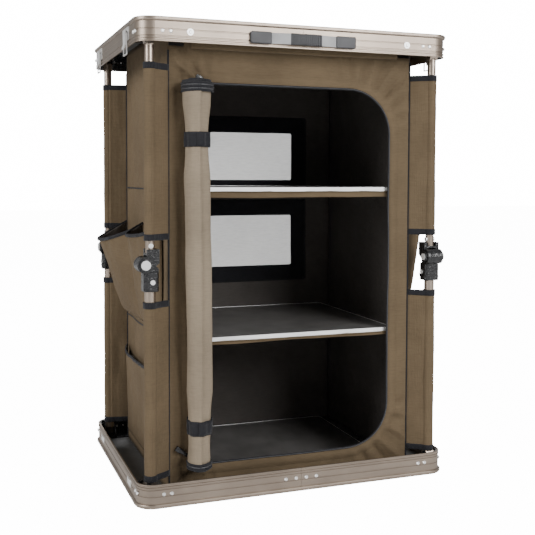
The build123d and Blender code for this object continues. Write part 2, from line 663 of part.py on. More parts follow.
with BuildPart() as handle_strap:
    reach = HANDLE_CAP_IN + STRAP_TUCK
    near = -HALF_D - STRAP_GAP
    flat = HANDLE_CAP_IN - 2
    with BuildSketch(Plane.XY.offset(middle_z - STRAP_H / 2)):
        with BuildLine():
            Line((-reach, near), (-flat, near))
            ThreePointArc((-flat, near), (0, near - STRAP_BOW), (flat, near))
            Line((flat, near), (reach, near))
            Line((reach, near), (reach, near - STRAP_T))
            Line((reach, near - STRAP_T), (flat, near - STRAP_T))
            ThreePointArc((flat, near - STRAP_T), (0, near - STRAP_T - STRAP_BOW), (-flat, near - STRAP_T))
            Line((-flat, near - STRAP_T), (-reach, near - STRAP_T))
            Line((-reach, near - STRAP_T), (-reach, near))
        make_face()
    extrude(amount=STRAP_H)
    # Grip ribs, cut across the middle of the strap
    for index in range(RIB_COUNT):
        rib_x = (index - (RIB_COUNT - 1) / 2) * RIB_PITCH
        with BuildSketch(Plane.XY.offset(middle_z - STRAP_H / 2)):
            with Locations((rib_x, near - STRAP_T - STRAP_BOW)):
                Rectangle(RIB_PITCH * 0.4, 2 * RIB_DEEP)
        extrude(amount=STRAP_H, mode=Mode.SUBTRACT)
save(handle_strap, "handle_strap")

# Case latches on both sides of the upper frame, keepers on the lower one
LATCHES = {
    "front_left": (-1, -1), "front_right": (1, -1), "back_right": (1, 1), "back_left": (-1, 1),
}


def side_section(side, y):
    """A plane across a latch: local X points out of the frame's side, local Y up."""
    return Plane(origin=(side * HALF_W, y, 0), x_dir=(side, 0, 0), z_dir=(0, -side, 0))


with BuildPart() as latch_plates:
    for side, end in LATCHES.values():
        section = side_section(side, end * LATCH_Y)
        with BuildSketch(section):
            with BuildLine():
                Polyline((0, LATCH_PLATE_LOW), (0, LATCH_PLATE_HIGH), (LATCH_PLATE_T, LATCH_PLATE_HIGH),
                         (LATCH_PLATE_T, LATCH_PLATE_LOW), close=True)
            make_face()
        extrude(amount=LATCH_PLATE_W / 2, both=True)
        # Two ears that carry the lever's pin
        ear_in = LEVER_W / 2 + 0.3
        for face in (section.offset(ear_in), section.offset(-ear_in - LATCH_EAR_T)):
            with BuildSketch(face):
                with Locations((LATCH_PIVOT_OUT, LATCH_PIVOT_Z)):
                    Circle(LEVER_EYE_R)
                with Locations((LATCH_PIVOT_OUT / 2, LATCH_PIVOT_Z)):
                    Rectangle(LATCH_PIVOT_OUT, 2 * LEVER_EYE_R)
            extrude(amount=LATCH_EAR_T)
        with BuildSketch(section):
            with Locations((LATCH_PIVOT_OUT, LATCH_PIVOT_Z)):
                Circle(EYE_PIN_D / 2)
        extrude(amount=ear_in + LATCH_EAR_T, both=True)
save(latch_plates, "latch_plates")

bail_pivot_z = LATCH_PIVOT_Z - BAIL_PIVOT_DROP
for name, (side, end) in LATCHES.items():
    section = side_section(side, end * LATCH_Y)
    with BuildPart() as latch_lever:
        with BuildSketch(section):
            with Locations((LATCH_PIVOT_OUT, LATCH_PIVOT_Z), (LATCH_PIVOT_OUT, bail_pivot_z)):
                Circle(LEVER_EYE_R)
            with BuildLine():
                Polyline((LATCH_PIVOT_OUT, LATCH_PIVOT_Z), (LATCH_PIVOT_OUT + LEVER_EYE_R, LATCH_PIVOT_Z),
                         (LATCH_PIVOT_OUT + 2, LEVER_TIP_Z + 9), (LATCH_PIVOT_OUT + 4.4, LEVER_TIP_Z + 1),
                         (LATCH_PIVOT_OUT + 3.4, LEVER_TIP_Z), (LATCH_PIVOT_OUT + 0.4, LEVER_TIP_Z + 9),
                         (LATCH_PIVOT_OUT, bail_pivot_z), close=True)
            make_face()
            with Locations((LATCH_PIVOT_OUT, LATCH_PIVOT_Z), (LATCH_PIVOT_OUT, bail_pivot_z)):
                Circle(EYE_PIN_D / 2 + EYE_CLEAR, mode=Mode.SUBTRACT)
        extrude(amount=LEVER_W / 2, both=True)
    save(latch_lever, f"latch_lever_{name}")

    with BuildPart() as latch_bail:
        wire_r = BAIL_WIRE_D / 2
        pin_line = Plane(origin=(side * (HALF_W + LATCH_PIVOT_OUT), end * LATCH_Y, bail_pivot_z),
                         x_dir=(0, 1, 0), z_dir=(1, 0, 0))
        with BuildSketch(pin_line):
            with Locations((0, -BAIL_LENGTH / 2)):
                Rectangle(2 * (BAIL_HALF_W + wire_r), BAIL_LENGTH)
            with Locations((0, -BAIL_LENGTH)):
                RectangleRounded(2 * (BAIL_HALF_W + wire_r), 2 * wire_r, wire_r * 0.9)
            with Locations((0, -BAIL_LENGTH / 2 + wire_r)):
                Rectangle(2 * (BAIL_HALF_W - wire_r), BAIL_LENGTH, mode=Mode.SUBTRACT)
        extrude(amount=wire_r, both=True)
        with BuildSketch(Plane.XZ.offset(-pin_line.origin.Y)):
            with Locations((pin_line.origin.X, bail_pivot_z)):
                Circle(wire_r)
        extrude(amount=BAIL_HALF_W + wire_r, both=True)
    save(latch_bail, f"latch_bail_{name}")

with BuildPart() as latch_keepers:
    for side, end in LATCHES.values():
        section = side_section(side, end * LATCH_Y)
        with BuildSketch(section):
            with BuildLine():
                Polyline((0, KEEPER_LOW), (0, KEEPER_HIGH), (LATCH_PLATE_T, KEEPER_HIGH),
                         (LATCH_PLATE_T, KEEPER_LOW), close=True)
            make_face()
        extrude(amount=KEEPER_PLATE_W / 2, both=True)
        with BuildSketch(section):
            with BuildLine():
                Polyline((0, KEEPER_HIGH), (0, KEEPER_HIGH - 2), (KEEPER_OUT, KEEPER_HIGH - 2.4),
                         (KEEPER_OUT, KEEPER_HIGH - 0.6), (KEEPER_OUT - 0.6, KEEPER_HIGH), close=True)
            make_face()
        extrude(amount=KEEPER_W / 2, both=True)
save(latch_keepers, "latch_keepers")


def shelf_board(top_z, thickness):
    """A flat board with rounded corners."""
    with BuildSketch(Plane.XY.offset(top_z - thickness)) as board:
        RectangleRounded(2 * SHELF_X, 2 * SHELF_Y, SHELF_R)
    extrude(board.sketch, amount=thickness)


with BuildPart() as shelf_lower:
    shelf_board(LOWER_SHELF_TOP, SHELF_T)
save(shelf_lower, "shelf_lower")

with BuildPart() as shelf_upper:
    shelf_board(UPPER_SHELF_TOP, SHELF_T)
save(shelf_upper, "shelf_upper")

floor_cloth_top = PANEL_TOP + CLOTH_T
floor_board_top = floor_cloth_top + FLOOR_BOARD_T
with BuildPart() as floor_board:
    shelf_board(floor_board_top, FLOOR_BOARD_T)
save(floor_board, "floor_board")

# Bright edge band round each board, standing a little proud of its top
BANDS = {
    "shelf_lower_edge": (LOWER_SHELF_TOP, SHELF_T), "shelf_upper_edge": (UPPER_SHELF_TOP, SHELF_T),
    "floor_board_edge": (floor_board_top, FLOOR_BOARD_T),
}
for name, (top_z, thickness) in BANDS.items():
    with BuildPart() as board_edge:
        with BuildSketch(Plane.XY.offset(top_z - thickness)):
            RectangleRounded(2 * (SHELF_X + EDGE_T), 2 * (SHELF_Y + EDGE_T), SHELF_R + EDGE_T)
            RectangleRounded(2 * SHELF_X, 2 * SHELF_Y, SHELF_R, mode=Mode.SUBTRACT)
        extrude(amount=thickness + EDGE_LIP)
    save(board_edge, name)

# Fabric cabinet
cover_low = PANEL_TOP
cover_high = HEIGHT - PANEL_TOP


def opening_outline(grow, mode=Mode.ADD):
    """The door's outline, grown by an offset."""
    with Locations((0, (OPENING_LOW + OPENING_HIGH) / 2)):
        RectangleRounded(2 * (OPENING_X + grow), OPENING_HIGH - OPENING_LOW + 2 * grow, OPENING_R + grow,
                         mode=mode)


with BuildPart() as fabric_cover:
    with BuildSketch(Plane.XY.offset(cover_low)):
        RectangleRounded(2 * COVER_X, 2 * COVER_Y, 6)
    extrude(amount=cover_high - cover_low)
    with BuildSketch(Plane.XY.offset(floor_cloth_top)):
        RectangleRounded(2 * (COVER_X - CLOTH_T), 2 * (COVER_Y - CLOTH_T), 4)
    extrude(amount=cover_high - floor_cloth_top - CLOTH_T, mode=Mode.SUBTRACT)
    with BuildSketch(Plane.XZ.offset(COVER_Y - CLOTH_T - 1)):
        opening_outline(0)
    extrude(amount=CLOTH_T + 2, mode=Mode.SUBTRACT)
    for low, high in WINDOW_BANDS:
        with BuildSketch(Plane.XZ.offset(-COVER_Y - 1)):
            with Locations((0, (low + high) / 2)):
                RectangleRounded(2 * WINDOW_X, high - low, WINDOW_R)
        extrude(amount=CLOTH_T + 2, mode=Mode.SUBTRACT)
    # Slings that carry the shelves between the side walls
    for top_z in (LOWER_SHELF_TOP, UPPER_SHELF_TOP):
        with BuildSketch(Plane.XY.offset(top_z - SHELF_T - COVER_GAP - SLING_T)):
            Rectangle(2 * COVER_X - CLOTH_T, 2 * (COVER_Y - CLOTH_T) + 1)
        extrude(amount=SLING_T)
    # Wings and sleeves that hold the cabinet to the legs
    for corner, (leg_x, leg_y, turn) in CORNERS.items():
        side = 1 if leg_x > 0 else -1
        end = 1 if leg_y > 0 else -1
        for (low, high), tube_d in ((LOWER_SLEEVE, LOWER_TUBE_D), (UPPER_SLEEVE, UPPER_TUBE_D)):
            ring = tube_d / 2 + SLEEVE_EASE
            with BuildSketch(Plane.XY.offset(low)):
                with BuildLine():
                    Polyline((side * (COVER_X - 1), end * (COVER_Y - 5)), (side * (COVER_X - 1), end * (COVER_Y - 1)),
                             (leg_x, leg_y + end * (ring + SLEEVE_CLOTH_T)),
                             (leg_x, leg_y + end * ring), close=True)
                make_face()
                with Locations((leg_x, leg_y)):
                    Circle(ring + SLEEVE_CLOTH_T)
                    Circle(ring, mode=Mode.SUBTRACT)
            extrude(amount=high - low)
save(fabric_cover, "fabric_cover")

with BuildPart() as mesh_windows:
    for low, high in WINDOW_BANDS:
        with BuildSketch(Plane.XZ.offset(-COVER_Y + 0.5)):
            with Locations((0, (low + high) / 2)):
                RectangleRounded(2 * WINDOW_X, high - low, WINDOW_R)
        extrude(amount=0.6)
save(mesh_windows, "mesh_windows")

with BuildPart() as door_zip:
    with BuildSketch(Plane.XZ.offset(COVER_Y)):
        opening_outline(ZIP_W)
        opening_outline(0, Mode.SUBTRACT)
    extrude(amount=ZIP_T)
save(door_zip, "door_zip")

with BuildPart() as door_roll:
    with BuildSketch(Plane(origin=(ROLL_X, ROLL_Y, 0), x_dir=(1, 0, 0), z_dir=(0, -1, 0))):
        with BuildLine():
            strap_points = []
            for low, high in ROLL_STRAPS:
                strap_points += [(ROLL_R, low - 30), (ROLL_R - ROLL_PINCH, low), (ROLL_R - ROLL_PINCH, high),
                                 (ROLL_R, high + 30)]
            Polyline((0, ROLL_LOW), (ROLL_R - 4, ROLL_LOW), *strap_points, (ROLL_R - 5, ROLL_HIGH), (0, ROLL_HIGH),
                     close=True)
        make_face()
    revolve(axis=Axis((ROLL_X, ROLL_Y, 0), (0, 0, 1)))
save(door_roll, "door_roll")

with BuildPart() as roll_straps:
    strap_r = ROLL_R - ROLL_PINCH + COVER_GAP
    for low, high in ROLL_STRAPS:
        with BuildSketch(Plane.XY.offset(low)):
            with Locations((ROLL_X, ROLL_Y)):
                Circle(strap_r + ROLL_STRAP_T)
                Circle(strap_r, mode=Mode.SUBTRACT)
        extrude(amount=high - low)
save(roll_straps, "roll_straps")

with BuildPart() as side_pockets:
    wall = -COVER_X - COVER_GAP
    for side, bulge in ((-1, POCKET_BULGE), (1, RIGHT_POCKET_BULGE)):
        with BuildSketch(Plane.XZ.offset(-POCKET_BACK)):
            with BuildLine():
                Polyline((-side * wall, POCKET_LOW), (-side * wall, POCKET_MOUTH),
                         (side * (bulge - wall), POCKET_MOUTH - 20), (side * (bulge * 0.8 - wall), POCKET_LOW + 90),
                         close=True)
            make_face()
        extrude(amount=POCKET_BACK - POCKET_FRONT)
    with BuildSketch(Plane.XZ.offset(-POCKET_BACK)):
        with BuildLine():
            Polyline((wall, LOW_POCKET_LOW), (wall, LOW_POCKET_MOUTH), (wall - LOW_POCKET_BULGE, LOW_POCKET_MOUTH),
                     (wall - LOW_POCKET_BULGE, LOW_POCKET_LOW), close=True)
        make_face()
    extrude(amount=POCKET_BACK - POCKET_FRONT)
save(side_pockets, "side_pockets")
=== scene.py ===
"""Folding storage unit: looks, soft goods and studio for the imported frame."""
import json
from math import atan2, cos, hypot, pi, radians, sin

import bmesh
import bpy
from mathutils import Matrix, Vector, noise


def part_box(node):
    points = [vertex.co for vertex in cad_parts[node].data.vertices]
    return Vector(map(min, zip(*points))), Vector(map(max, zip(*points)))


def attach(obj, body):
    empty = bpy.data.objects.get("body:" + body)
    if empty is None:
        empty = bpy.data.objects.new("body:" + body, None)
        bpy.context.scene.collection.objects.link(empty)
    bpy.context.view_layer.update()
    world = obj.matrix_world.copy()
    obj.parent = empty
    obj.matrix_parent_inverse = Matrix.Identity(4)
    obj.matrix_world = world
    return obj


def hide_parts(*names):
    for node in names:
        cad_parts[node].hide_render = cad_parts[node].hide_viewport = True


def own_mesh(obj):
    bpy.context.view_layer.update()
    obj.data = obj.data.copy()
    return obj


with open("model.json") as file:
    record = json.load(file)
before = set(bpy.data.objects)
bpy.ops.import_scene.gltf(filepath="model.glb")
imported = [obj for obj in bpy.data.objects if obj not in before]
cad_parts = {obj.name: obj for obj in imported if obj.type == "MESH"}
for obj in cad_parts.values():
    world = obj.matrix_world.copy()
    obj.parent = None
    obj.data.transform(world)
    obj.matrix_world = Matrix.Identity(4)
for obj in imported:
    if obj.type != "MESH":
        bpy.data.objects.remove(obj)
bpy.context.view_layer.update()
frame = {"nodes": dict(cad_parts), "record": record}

bl_info = {
    "name": "Folding Storage Unit",
    "version": (1, 0, 0),
    "blender": (4, 5, 0),
    "location": "3D View > Sidebar > Unit",
    "description": "Builds the cloth cabinet, finishes and studio of a folding storage unit",
    "category": "Object",
}

COVER_LOW, COVER_HIGH = (corner.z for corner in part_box("fabric_cover"))
COVER_TALL = COVER_HIGH - COVER_LOW
# Cabinet's half width and half depth
CAB_X = 0.238
CAB_Y = 0.187

# Opening in the front panel: half width, lower and upper edge, corner radius at the free side
OPENING = (0.195, 0.056, 0.740, 0.085)
HINGE_R = 0.006
# The front panel's top corners are cut down so that the brackets show
CORNER_CUT = (0.207, 0.803)
# Heights of the back panel's windows, and their half width
WINDOWS = ((0.368, 0.494), (0.562, 0.680))
WINDOW_X = 0.147
WINDOW_EDGE = 0.003
# Heights of the sleeves on the legs, and the width of the binding at their ends
LOWER_SLEEVE = (0.042, 0.357)
UPPER_SLEEVE = (0.464, 0.770)
BINDING = 0.011
LEG_TUBES = (("lower", LOWER_SLEEVE, 0.0095), ("upper", UPPER_SLEEVE, 0.008))
SLEEVE_EASE = 0.0018
# Axis of each leg, and the sides of the cabinet that it stands at
LEGS = {
    "front_left": (-0.275, -0.2025, -1, -1),
    "front_right": (0.275, -0.2055, 1, -1),
    "back_right": (0.275, 0.2025, 1, 1),
    "back_left": (-0.275, 0.2055, -1, 1),
}
# Axis of the rolled door, its foot and top, where its taped ends begin, its core and its straps
ROLL = (-0.190, -0.2112)
ROLL_ENDS = (0.058, 0.741)
ROLL_TAPED = (0.070, 0.722)
ROLL_CORE = 0.006
ROLL_STRAPS = ((0.120, 0.146), (0.626, 0.652))
STRAP_MIDDLES = tuple((low + high) / 2 for low, high in ROLL_STRAPS)
# Short flap at the top, front and back
FLAP_LOW = 0.797
FLAP_LEFT = -0.200
FLAP_WIDTH = 0.404
CORD_R = 0.0017
CORD_HIGH = 0.795
SHELF_SEAMS = (0.279, 0.551)
SLING_GAP = (0.004, 0.006)


class UnitColours(bpy.types.PropertyGroup):
    """Colours that a user would change"""

    canvas: bpy.props.FloatVectorProperty(
        name="Canvas", description="Outer cloth of the cabinet", subtype="COLOR",
        default=(0.117, 0.085, 0.051))
    lining: bpy.props.FloatVectorProperty(
        name="Lining", description="Coated inner side of the cloth", subtype="COLOR",
        default=(0.078, 0.070, 0.064))
    door: bpy.props.FloatVectorProperty(
        name="Rolled door", description="Back of the door cloth, seen when it is rolled", subtype="COLOR",
        default=(0.225, 0.182, 0.132))
    frame_metal: bpy.props.FloatVectorProperty(
        name="Frame", description="Anodised frames and legs", subtype="COLOR", default=(0.305, 0.252, 0.206))
    webbing: bpy.props.FloatVectorProperty(
        name="Webbing", description="Straps, bindings and zip tape", subtype="COLOR",
        default=(0.018, 0.018, 0.021))


class UnitSizes(bpy.types.PropertyGroup):
    """Sizes that a user would change"""

    cloth: bpy.props.FloatProperty(
        name="Cloth thickness", description="Thickness of the coated canvas", unit="LENGTH", default=0.0012)
    wrinkle: bpy.props.FloatProperty(
        name="Wrinkles", description="Depth of the wrinkles in the panels", unit="LENGTH", default=0.0042)
    roll_radius: bpy.props.FloatProperty(
        name="Roll radius", description="Radius of the rolled door", unit="LENGTH", default=0.0235)
    roll_turns: bpy.props.FloatProperty(
        name="Roll turns", description="Turns in the rolled door", default=3.6)


# Materials


def start_material(name):
    """A material with its shader and object coordinates."""
    material = bpy.data.materials.new(name)
    material.use_nodes = True
    nodes = material.node_tree.nodes
    shader = nodes["Principled BSDF"]
    place = nodes.new("ShaderNodeTexCoord")
    return material, nodes, material.node_tree.links, shader, place


def scaled(nodes, links, place, scale):
    """Object coordinates with a scale on each axis."""
    mapping = nodes.new("ShaderNodeMapping")
    mapping.inputs["Scale"].default_value = scale
    links.new(place.outputs["Object"], mapping.inputs["Vector"])
    return mapping.outputs["Vector"]


def speckle(nodes, links, vector, scale, detail=4.0, rough=0.5):
    """A noise texture on a vector."""
    texture = nodes.new("ShaderNodeTexNoise")
    texture.inputs["Scale"].default_value = scale
    texture.inputs["Detail"].default_value = detail
    texture.inputs["Roughness"].default_value = rough
    links.new(vector, texture.inputs["Vector"])
    return texture.outputs["Fac"]


def tint(nodes, links, factor, low, high, start=0.35, end=0.65):
    """A ramp between two colours."""
    ramp = nodes.new("ShaderNodeValToRGB")
    ramp.color_ramp.elements[0].position = start
    ramp.color_ramp.elements[1].position = end
    ramp.color_ramp.elements[0].color = (*low, 1)
    ramp.color_ramp.elements[1].color = (*high, 1)
    links.new(factor, ramp.inputs["Fac"])
    return ramp.outputs["Color"]


def relief(nodes, links, height, strength, distance, shader, under=None):
    """Bump from a height, on top of an earlier bump."""
    bump = nodes.new("ShaderNodeBump")
    bump.inputs["Strength"].default_value = strength
    bump.inputs["Distance"].default_value = distance
    links.new(height, bump.inputs["Height"])
    if under is not None:
        links.new(under, bump.inputs["Normal"])
    links.new(bump.outputs["Normal"], shader.inputs["Normal"])
    return bump.outputs["Normal"]


def shade(colour, factor):
    """A colour made lighter or darker."""
    return tuple(min(1.0, channel * factor) for channel in colour)


def metal(name, colour, roughness, grain_scale, metallic=1.0, strength=0.12):
    """Metal with a fine drawn grain and slight cloudiness."""
    material, nodes, links, shader, place = start_material(name)
    grain = speckle(nodes, links, scaled(nodes, links, place, grain_scale), 1.0, 3.0)
    cloud = speckle(nodes, links, place.outputs["Object"], 14.0, 3.0)
    tone = tint(nodes, links, cloud, shade(colour, 0.90), shade(colour, 1.08))
    links.new(tone, shader.inputs["Base Color"])
    shader.inputs["Metallic"].default_value = metallic
    rough = nodes.new("ShaderNodeMapRange")
    rough.inputs["To Min"].default_value = roughness * 0.85
    rough.inputs["To Max"].default_value = roughness * 1.2
    links.new(grain, rough.inputs["Value"])
    links.new(rough.outputs["Result"], shader.inputs["Roughness"])
    relief(nodes, links, grain, strength, 0.00015, shader)
    return material


def plastic(name, colour, roughness, grain=900.0, strength=0.25, depth=0.0002):
    """Moulded plastic with a fine eroded skin."""
    material, nodes, links, shader, place = start_material(name)
    skin = speckle(nodes, links, place.outputs["Object"], grain, 2.0)
    cloud = speckle(nodes, links, place.outputs["Object"], 25.0, 3.0)
    links.new(tint(nodes, links, cloud, shade(colour, 0.85), shade(colour, 1.2)), shader.inputs["Base Color"])
    shader.inputs["Roughness"].default_value = roughness
    relief(nodes, links, skin, strength, depth, shader)
    return material


def cloth(name, colour, roughness=0.82, thread=150.0, sheen=0.02, strength=0.35, alpha=1.0, spread=0.10):
    """Woven cloth: crossed threads, slubs, and soft shading where it has been handled."""
    material, nodes, links, shader, place = start_material(name)
    across = []
    for direction in ("X", "Y", "Z"):
        wave = nodes.new("ShaderNodeTexWave")
        wave.bands_direction = direction
        wave.inputs["Scale"].default_value = thread
        wave.inputs["Distortion"].default_value = 1.2
        wave.inputs["Detail"].default_value = 1.0
        links.new(place.outputs["Object"], wave.inputs["Vector"])
        across.append(wave.outputs["Fac"])
    total = across[0]
    for wave in across[1:]:
        add = nodes.new("ShaderNodeMath")
        add.operation = "ADD"
        links.new(total, add.inputs[0])
        links.new(wave, add.inputs[1])
        total = add.outputs["Value"]
    blotch = speckle(nodes, links, place.outputs["Object"], 9.0, 6.0, 0.6)
    slub = speckle(nodes, links, scaled(nodes, links, place, (60, 60, 420)), 1.0, 3.0)
    base = tint(nodes, links, blotch, shade(colour, 1 - spread), shade(colour, 1 + spread))
    flecks = tint(nodes, links, slub, (0.86, 0.86, 0.86), (1, 1, 1), 0.3, 0.6)
    mix = nodes.new("ShaderNodeMix")
    mix.data_type = "RGBA"
    mix.blend_type = "MULTIPLY"
    mix.inputs["Factor"].default_value = 0.7
    links.new(base, mix.inputs["A"])
    links.new(flecks, mix.inputs["B"])
    links.new(mix.outputs["Result"], shader.inputs["Base Color"])
    shader.inputs["Roughness"].default_value = roughness
    shader.inputs["Sheen Weight"].default_value = sheen
    shader.inputs["Sheen Roughness"].default_value = 0.45
    shader.inputs["Specular IOR Level"].default_value = 0.1
    shader.inputs["Alpha"].default_value = alpha
    ripple = speckle(nodes, links, place.outputs["Object"], 38.0, 4.0, 0.55)
    wavy = relief(nodes, links, ripple, 0.5, 0.003, shader)
    relief(nodes, links, total, strength, 0.0004, shader, wavy)
    return material


FINISHES = {}


def finish_for(slot):
    """The material of a slot, made once."""
    colours = bpy.context.scene.unit_colours
    if slot not in FINISHES:
        metal_colour = tuple(colours.frame_metal)
        makers = {
            "rim_metal": lambda: metal("Anodised frame", metal_colour, 0.38, (6, 6, 1500), 0.92),
            "tube_metal": lambda: metal(
                "Anodised tube", shade(metal_colour, 1.25), 0.30, (1500, 1500, 6), 0.95),
            # Bright steel and the board edge are near-white and only partly metallic: partly their bright
            # metal, partly a painted highlight that shows white whatever the light
            "bright_steel": lambda: metal("Bright steel with painted highlight", (0.84, 0.84, 0.83), 0.30, (500, 500, 500), 0.6),
            "edge_metal": lambda: metal("Board edge with painted highlight", (0.86, 0.86, 0.85), 0.36, (8, 8, 1500), 0.55),
            "black_moulding": lambda: plastic(
                "Black moulding", (0.008, 0.008, 0.009), 0.26, 210.0, 1.0, 0.0014),
            "grey_moulding": lambda: plastic("Handle cap", (0.048, 0.048, 0.052), 0.55, 1400.0, 0.5),
            "strap_grip": lambda: plastic("Handle strap", (0.27, 0.27, 0.275), 0.42),
            "panel_board": lambda: metal("Tray panel", (0.065, 0.064, 0.062), 0.55, (40, 40, 40), 0.0),
            "shelf_board": lambda: plastic("Shelf board", (0.11, 0.105, 0.102), 0.36, 600.0, 0.15),
            "canvas": lambda: cloth("Canvas", tuple(colours.canvas)),
            "lining": lambda: cloth("Lining", tuple(colours.lining), 0.75, 150.0, 0.05),
            "roll_canvas": lambda: cloth("Door cloth", tuple(colours.door), 0.8),
            "webbing": lambda: cloth("Webbing", tuple(colours.webbing), 0.7, 260.0, 0.1, 0.6),
            "mesh": lambda: cloth(
                "Window net", (0.40, 0.385, 0.36), 0.6, 260.0, 0.1, 0.4, alpha=0.80, spread=0.03),
        }
        FINISHES[slot] = makers[slot]()
    return FINISHES[slot]


# Mesh helpers


def place_piece(name, bm, body, slots, smooth=True):
    """Turns a bmesh into an object that rides on a body; its first slot is the record's."""
    mesh = bpy.data.meshes.new(name)
    bm.to_mesh(mesh)
    bm.free()
    piece = bpy.data.objects.new(name, mesh)
    bpy.context.scene.collection.objects.link(piece)
    for slot in slots:
        mesh.materials.append(finish_for(slot))
    for polygon in mesh.polygons:
        polygon.use_smooth = smooth
    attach(piece, body)
    return piece


def squash_down(piece):
    """Gives the piece a mesh of its own."""
    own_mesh(piece)


def grid(columns, rows, place):
    """A grid whose points are placed by a function of two shares from 0 to 1."""
    bm = bmesh.new()
    bmesh.ops.create_grid(bm, x_segments=columns, y_segments=rows, size=0.5)
    for vert in bm.verts:
        vert.co = place(vert.co.x + 0.5, vert.co.y + 0.5)
    return bm


def closed(bm, distance=0.00005):
    """Merges the seam of a wrapped grid."""
    bmesh.ops.remove_doubles(bm, verts=bm.verts, dist=distance)
    bmesh.ops.recalc_face_normals(bm, faces=bm.faces)
    return bm


def thicken(bm, thickness, inner_material=0):
    """Gives a sheet its thickness, inwards; the added side takes the inner material."""
    faces = set(bm.faces)
    bmesh.ops.solidify(bm, geom=list(bm.faces), thickness=thickness)
    for face in bm.faces:
        if face not in faces:
            face.material_index = inner_material
    bmesh.ops.recalc_face_normals(bm, faces=bm.faces)


def add_grid(bm, columns, rows, place, wrap=False, material=0):
    """Adds another mapped grid to a mesh."""
    made = bmesh.ops.create_grid(bm, x_segments=columns, y_segments=rows, size=0.5)["verts"]
    for vert in made:
        vert.co = place(vert.co.x + 0.5, vert.co.y + 0.5)
    faces = {face for vert in made for face in vert.link_faces}
    for face in faces:
        face.material_index = material
    if wrap:
        bmesh.ops.remove_doubles(bm, verts=made, dist=0.00005)


def outline(share, half_width, low, high, radius, left=None):
    """A point on a rounded rectangle, by its share of the way round, from the middle of the lower edge.

    Its two left corners can have a radius of their own.
    """
    left = radius if left is None else left
    arc, left_arc = radius * pi / 2, left * pi / 2
    right_x, left_x = half_width - radius, half_width - left
    pieces = [
        (right_x, (0, low), (1, 0)), (arc, (right_x, low + radius, radius), -pi / 2),
        (high - low - 2 * radius, (half_width, low + radius), (0, 1)),
        (arc, (right_x, high - radius, radius), 0.0),
        (right_x + left_x, (right_x, high), (-1, 0)), (left_arc, (-left_x, high - left, left), pi / 2),
        (high - low - 2 * left, (-half_width, high - left), (0, -1)),
        (left_arc, (-left_x, low + left, left), pi),
        (left_x, (-left_x, low), (1, 0)),
    ]
    way = (share % 1.0) * sum(piece[0] for piece in pieces)
    for length, point, heading in pieces:
        if way <= length + 1e-9:
            if isinstance(heading, tuple):
                return point[0] + heading[0] * way, point[1] + heading[1] * way
            angle = heading + way / point[2]
            return point[0] + point[2] * cos(angle), point[1] + point[2] * sin(angle)
        way -= length
    return 0.0, low


def ripples(x, z, seed):
    """Height of the cloth's own unevenness, from about -1 to 1."""
    broad = noise.noise(Vector((x * 9, z * 7, seed)))
    fine = noise.noise(Vector((x * 28, z * 16, seed + 7)))
    return 0.75 * broad + 0.3 * fine


def pull(x, z, at_x, at_z, aim, reach, folds, seed, hollow=0.0):
    """Tension folds that fan out from a corner, starting at the hollow's edge."""
    away = hypot(x - at_x, z - at_z) - hollow
    turn = atan2(z - at_z, x - at_x) - aim
    turn = (turn + pi) % (2 * pi) - pi
    fan = max(0.0, 1 - abs(turn) / 1.3)
    near = max(0.0, 1 - away / reach)
    drift = 2.2 * noise.noise(Vector((x * 9, z * 9, seed)))
    ridge = sin(folds * turn + drift) - 0.35 * sin(2.3 * folds * turn + 2 * drift)
    rise = max(0.0, min(1.0, (away - 0.004) / 0.022))
    return fan * rise * near ** 0.6 * ridge


def edge_fade(x, z, half_width, low, high, soft=0.03):
    """Nought at a panel's edges, one inside."""
    inside = min(half_width - abs(x), z - low, high - z)
    return max(0.0, min(1.0, inside / soft))


def front_height(x, z):
    """How far the front panel stands off its plane."""
    depth = bpy.context.scene.unit_sizes.wrinkle
    half_width, low, high, radius = OPENING
    height = ripples(x, z, 3.0)
    # Folds round the opening's two rounded corners
    for corner_z, aim, folds, seed in ((high - radius, 48, 24, 1.0), (low + radius, -48, 22, 2.0)):
        height += 1.35 * pull(x, z, half_width - radius, corner_z, radians(aim), 0.14, folds, seed, radius)
    # Folds from the corners behind the rolled door
    for corner_z, aim, seed in ((0.72, 130, 4.0), (0.08, 230, 5.0)):
        height += 1.1 * pull(x, z, -0.165, corner_z, radians(aim), 0.20, 15, seed)
    # Long folds between the rolled door and the corner
    beside = max(0.0, min(1.0, (-0.17 - x) / 0.03))
    height += 0.4 * beside * sin(240 * x + 5 * noise.noise(Vector((x * 5, z * 4, 9))))
    return depth * height * edge_fade(x, z, CAB_X, COVER_LOW, COVER_HIGH, 0.014)


def panel_height(along, z, seed, half_width):
    """Unevenness of a plain panel."""
    depth = bpy.context.scene.unit_sizes.wrinkle
    height = 1.1 * ripples(along, z, seed)
    for end in (-1, 1):
        height += 0.3 * pull(along, z, end * half_width, COVER_HIGH, radians(270 - 35 * end), 0.3, 12, seed)
        height += 0.3 * pull(along, z, end * half_width, COVER_LOW, radians(90 + 35 * end), 0.25, 12, seed)
    return depth * height * edge_fade(along, z, half_width, COVER_LOW, COVER_HIGH)


def side_height(side, y, z):
    """Unevenness of a side panel, which its seams follow."""
    return panel_height(y, z, 20.0 + side, CAB_Y)


def back_height(x, z):
    """Unevenness of the back panel, which its nets and bindings follow."""
    return 0.8 * panel_height(x, z, 31.0, CAB_X)


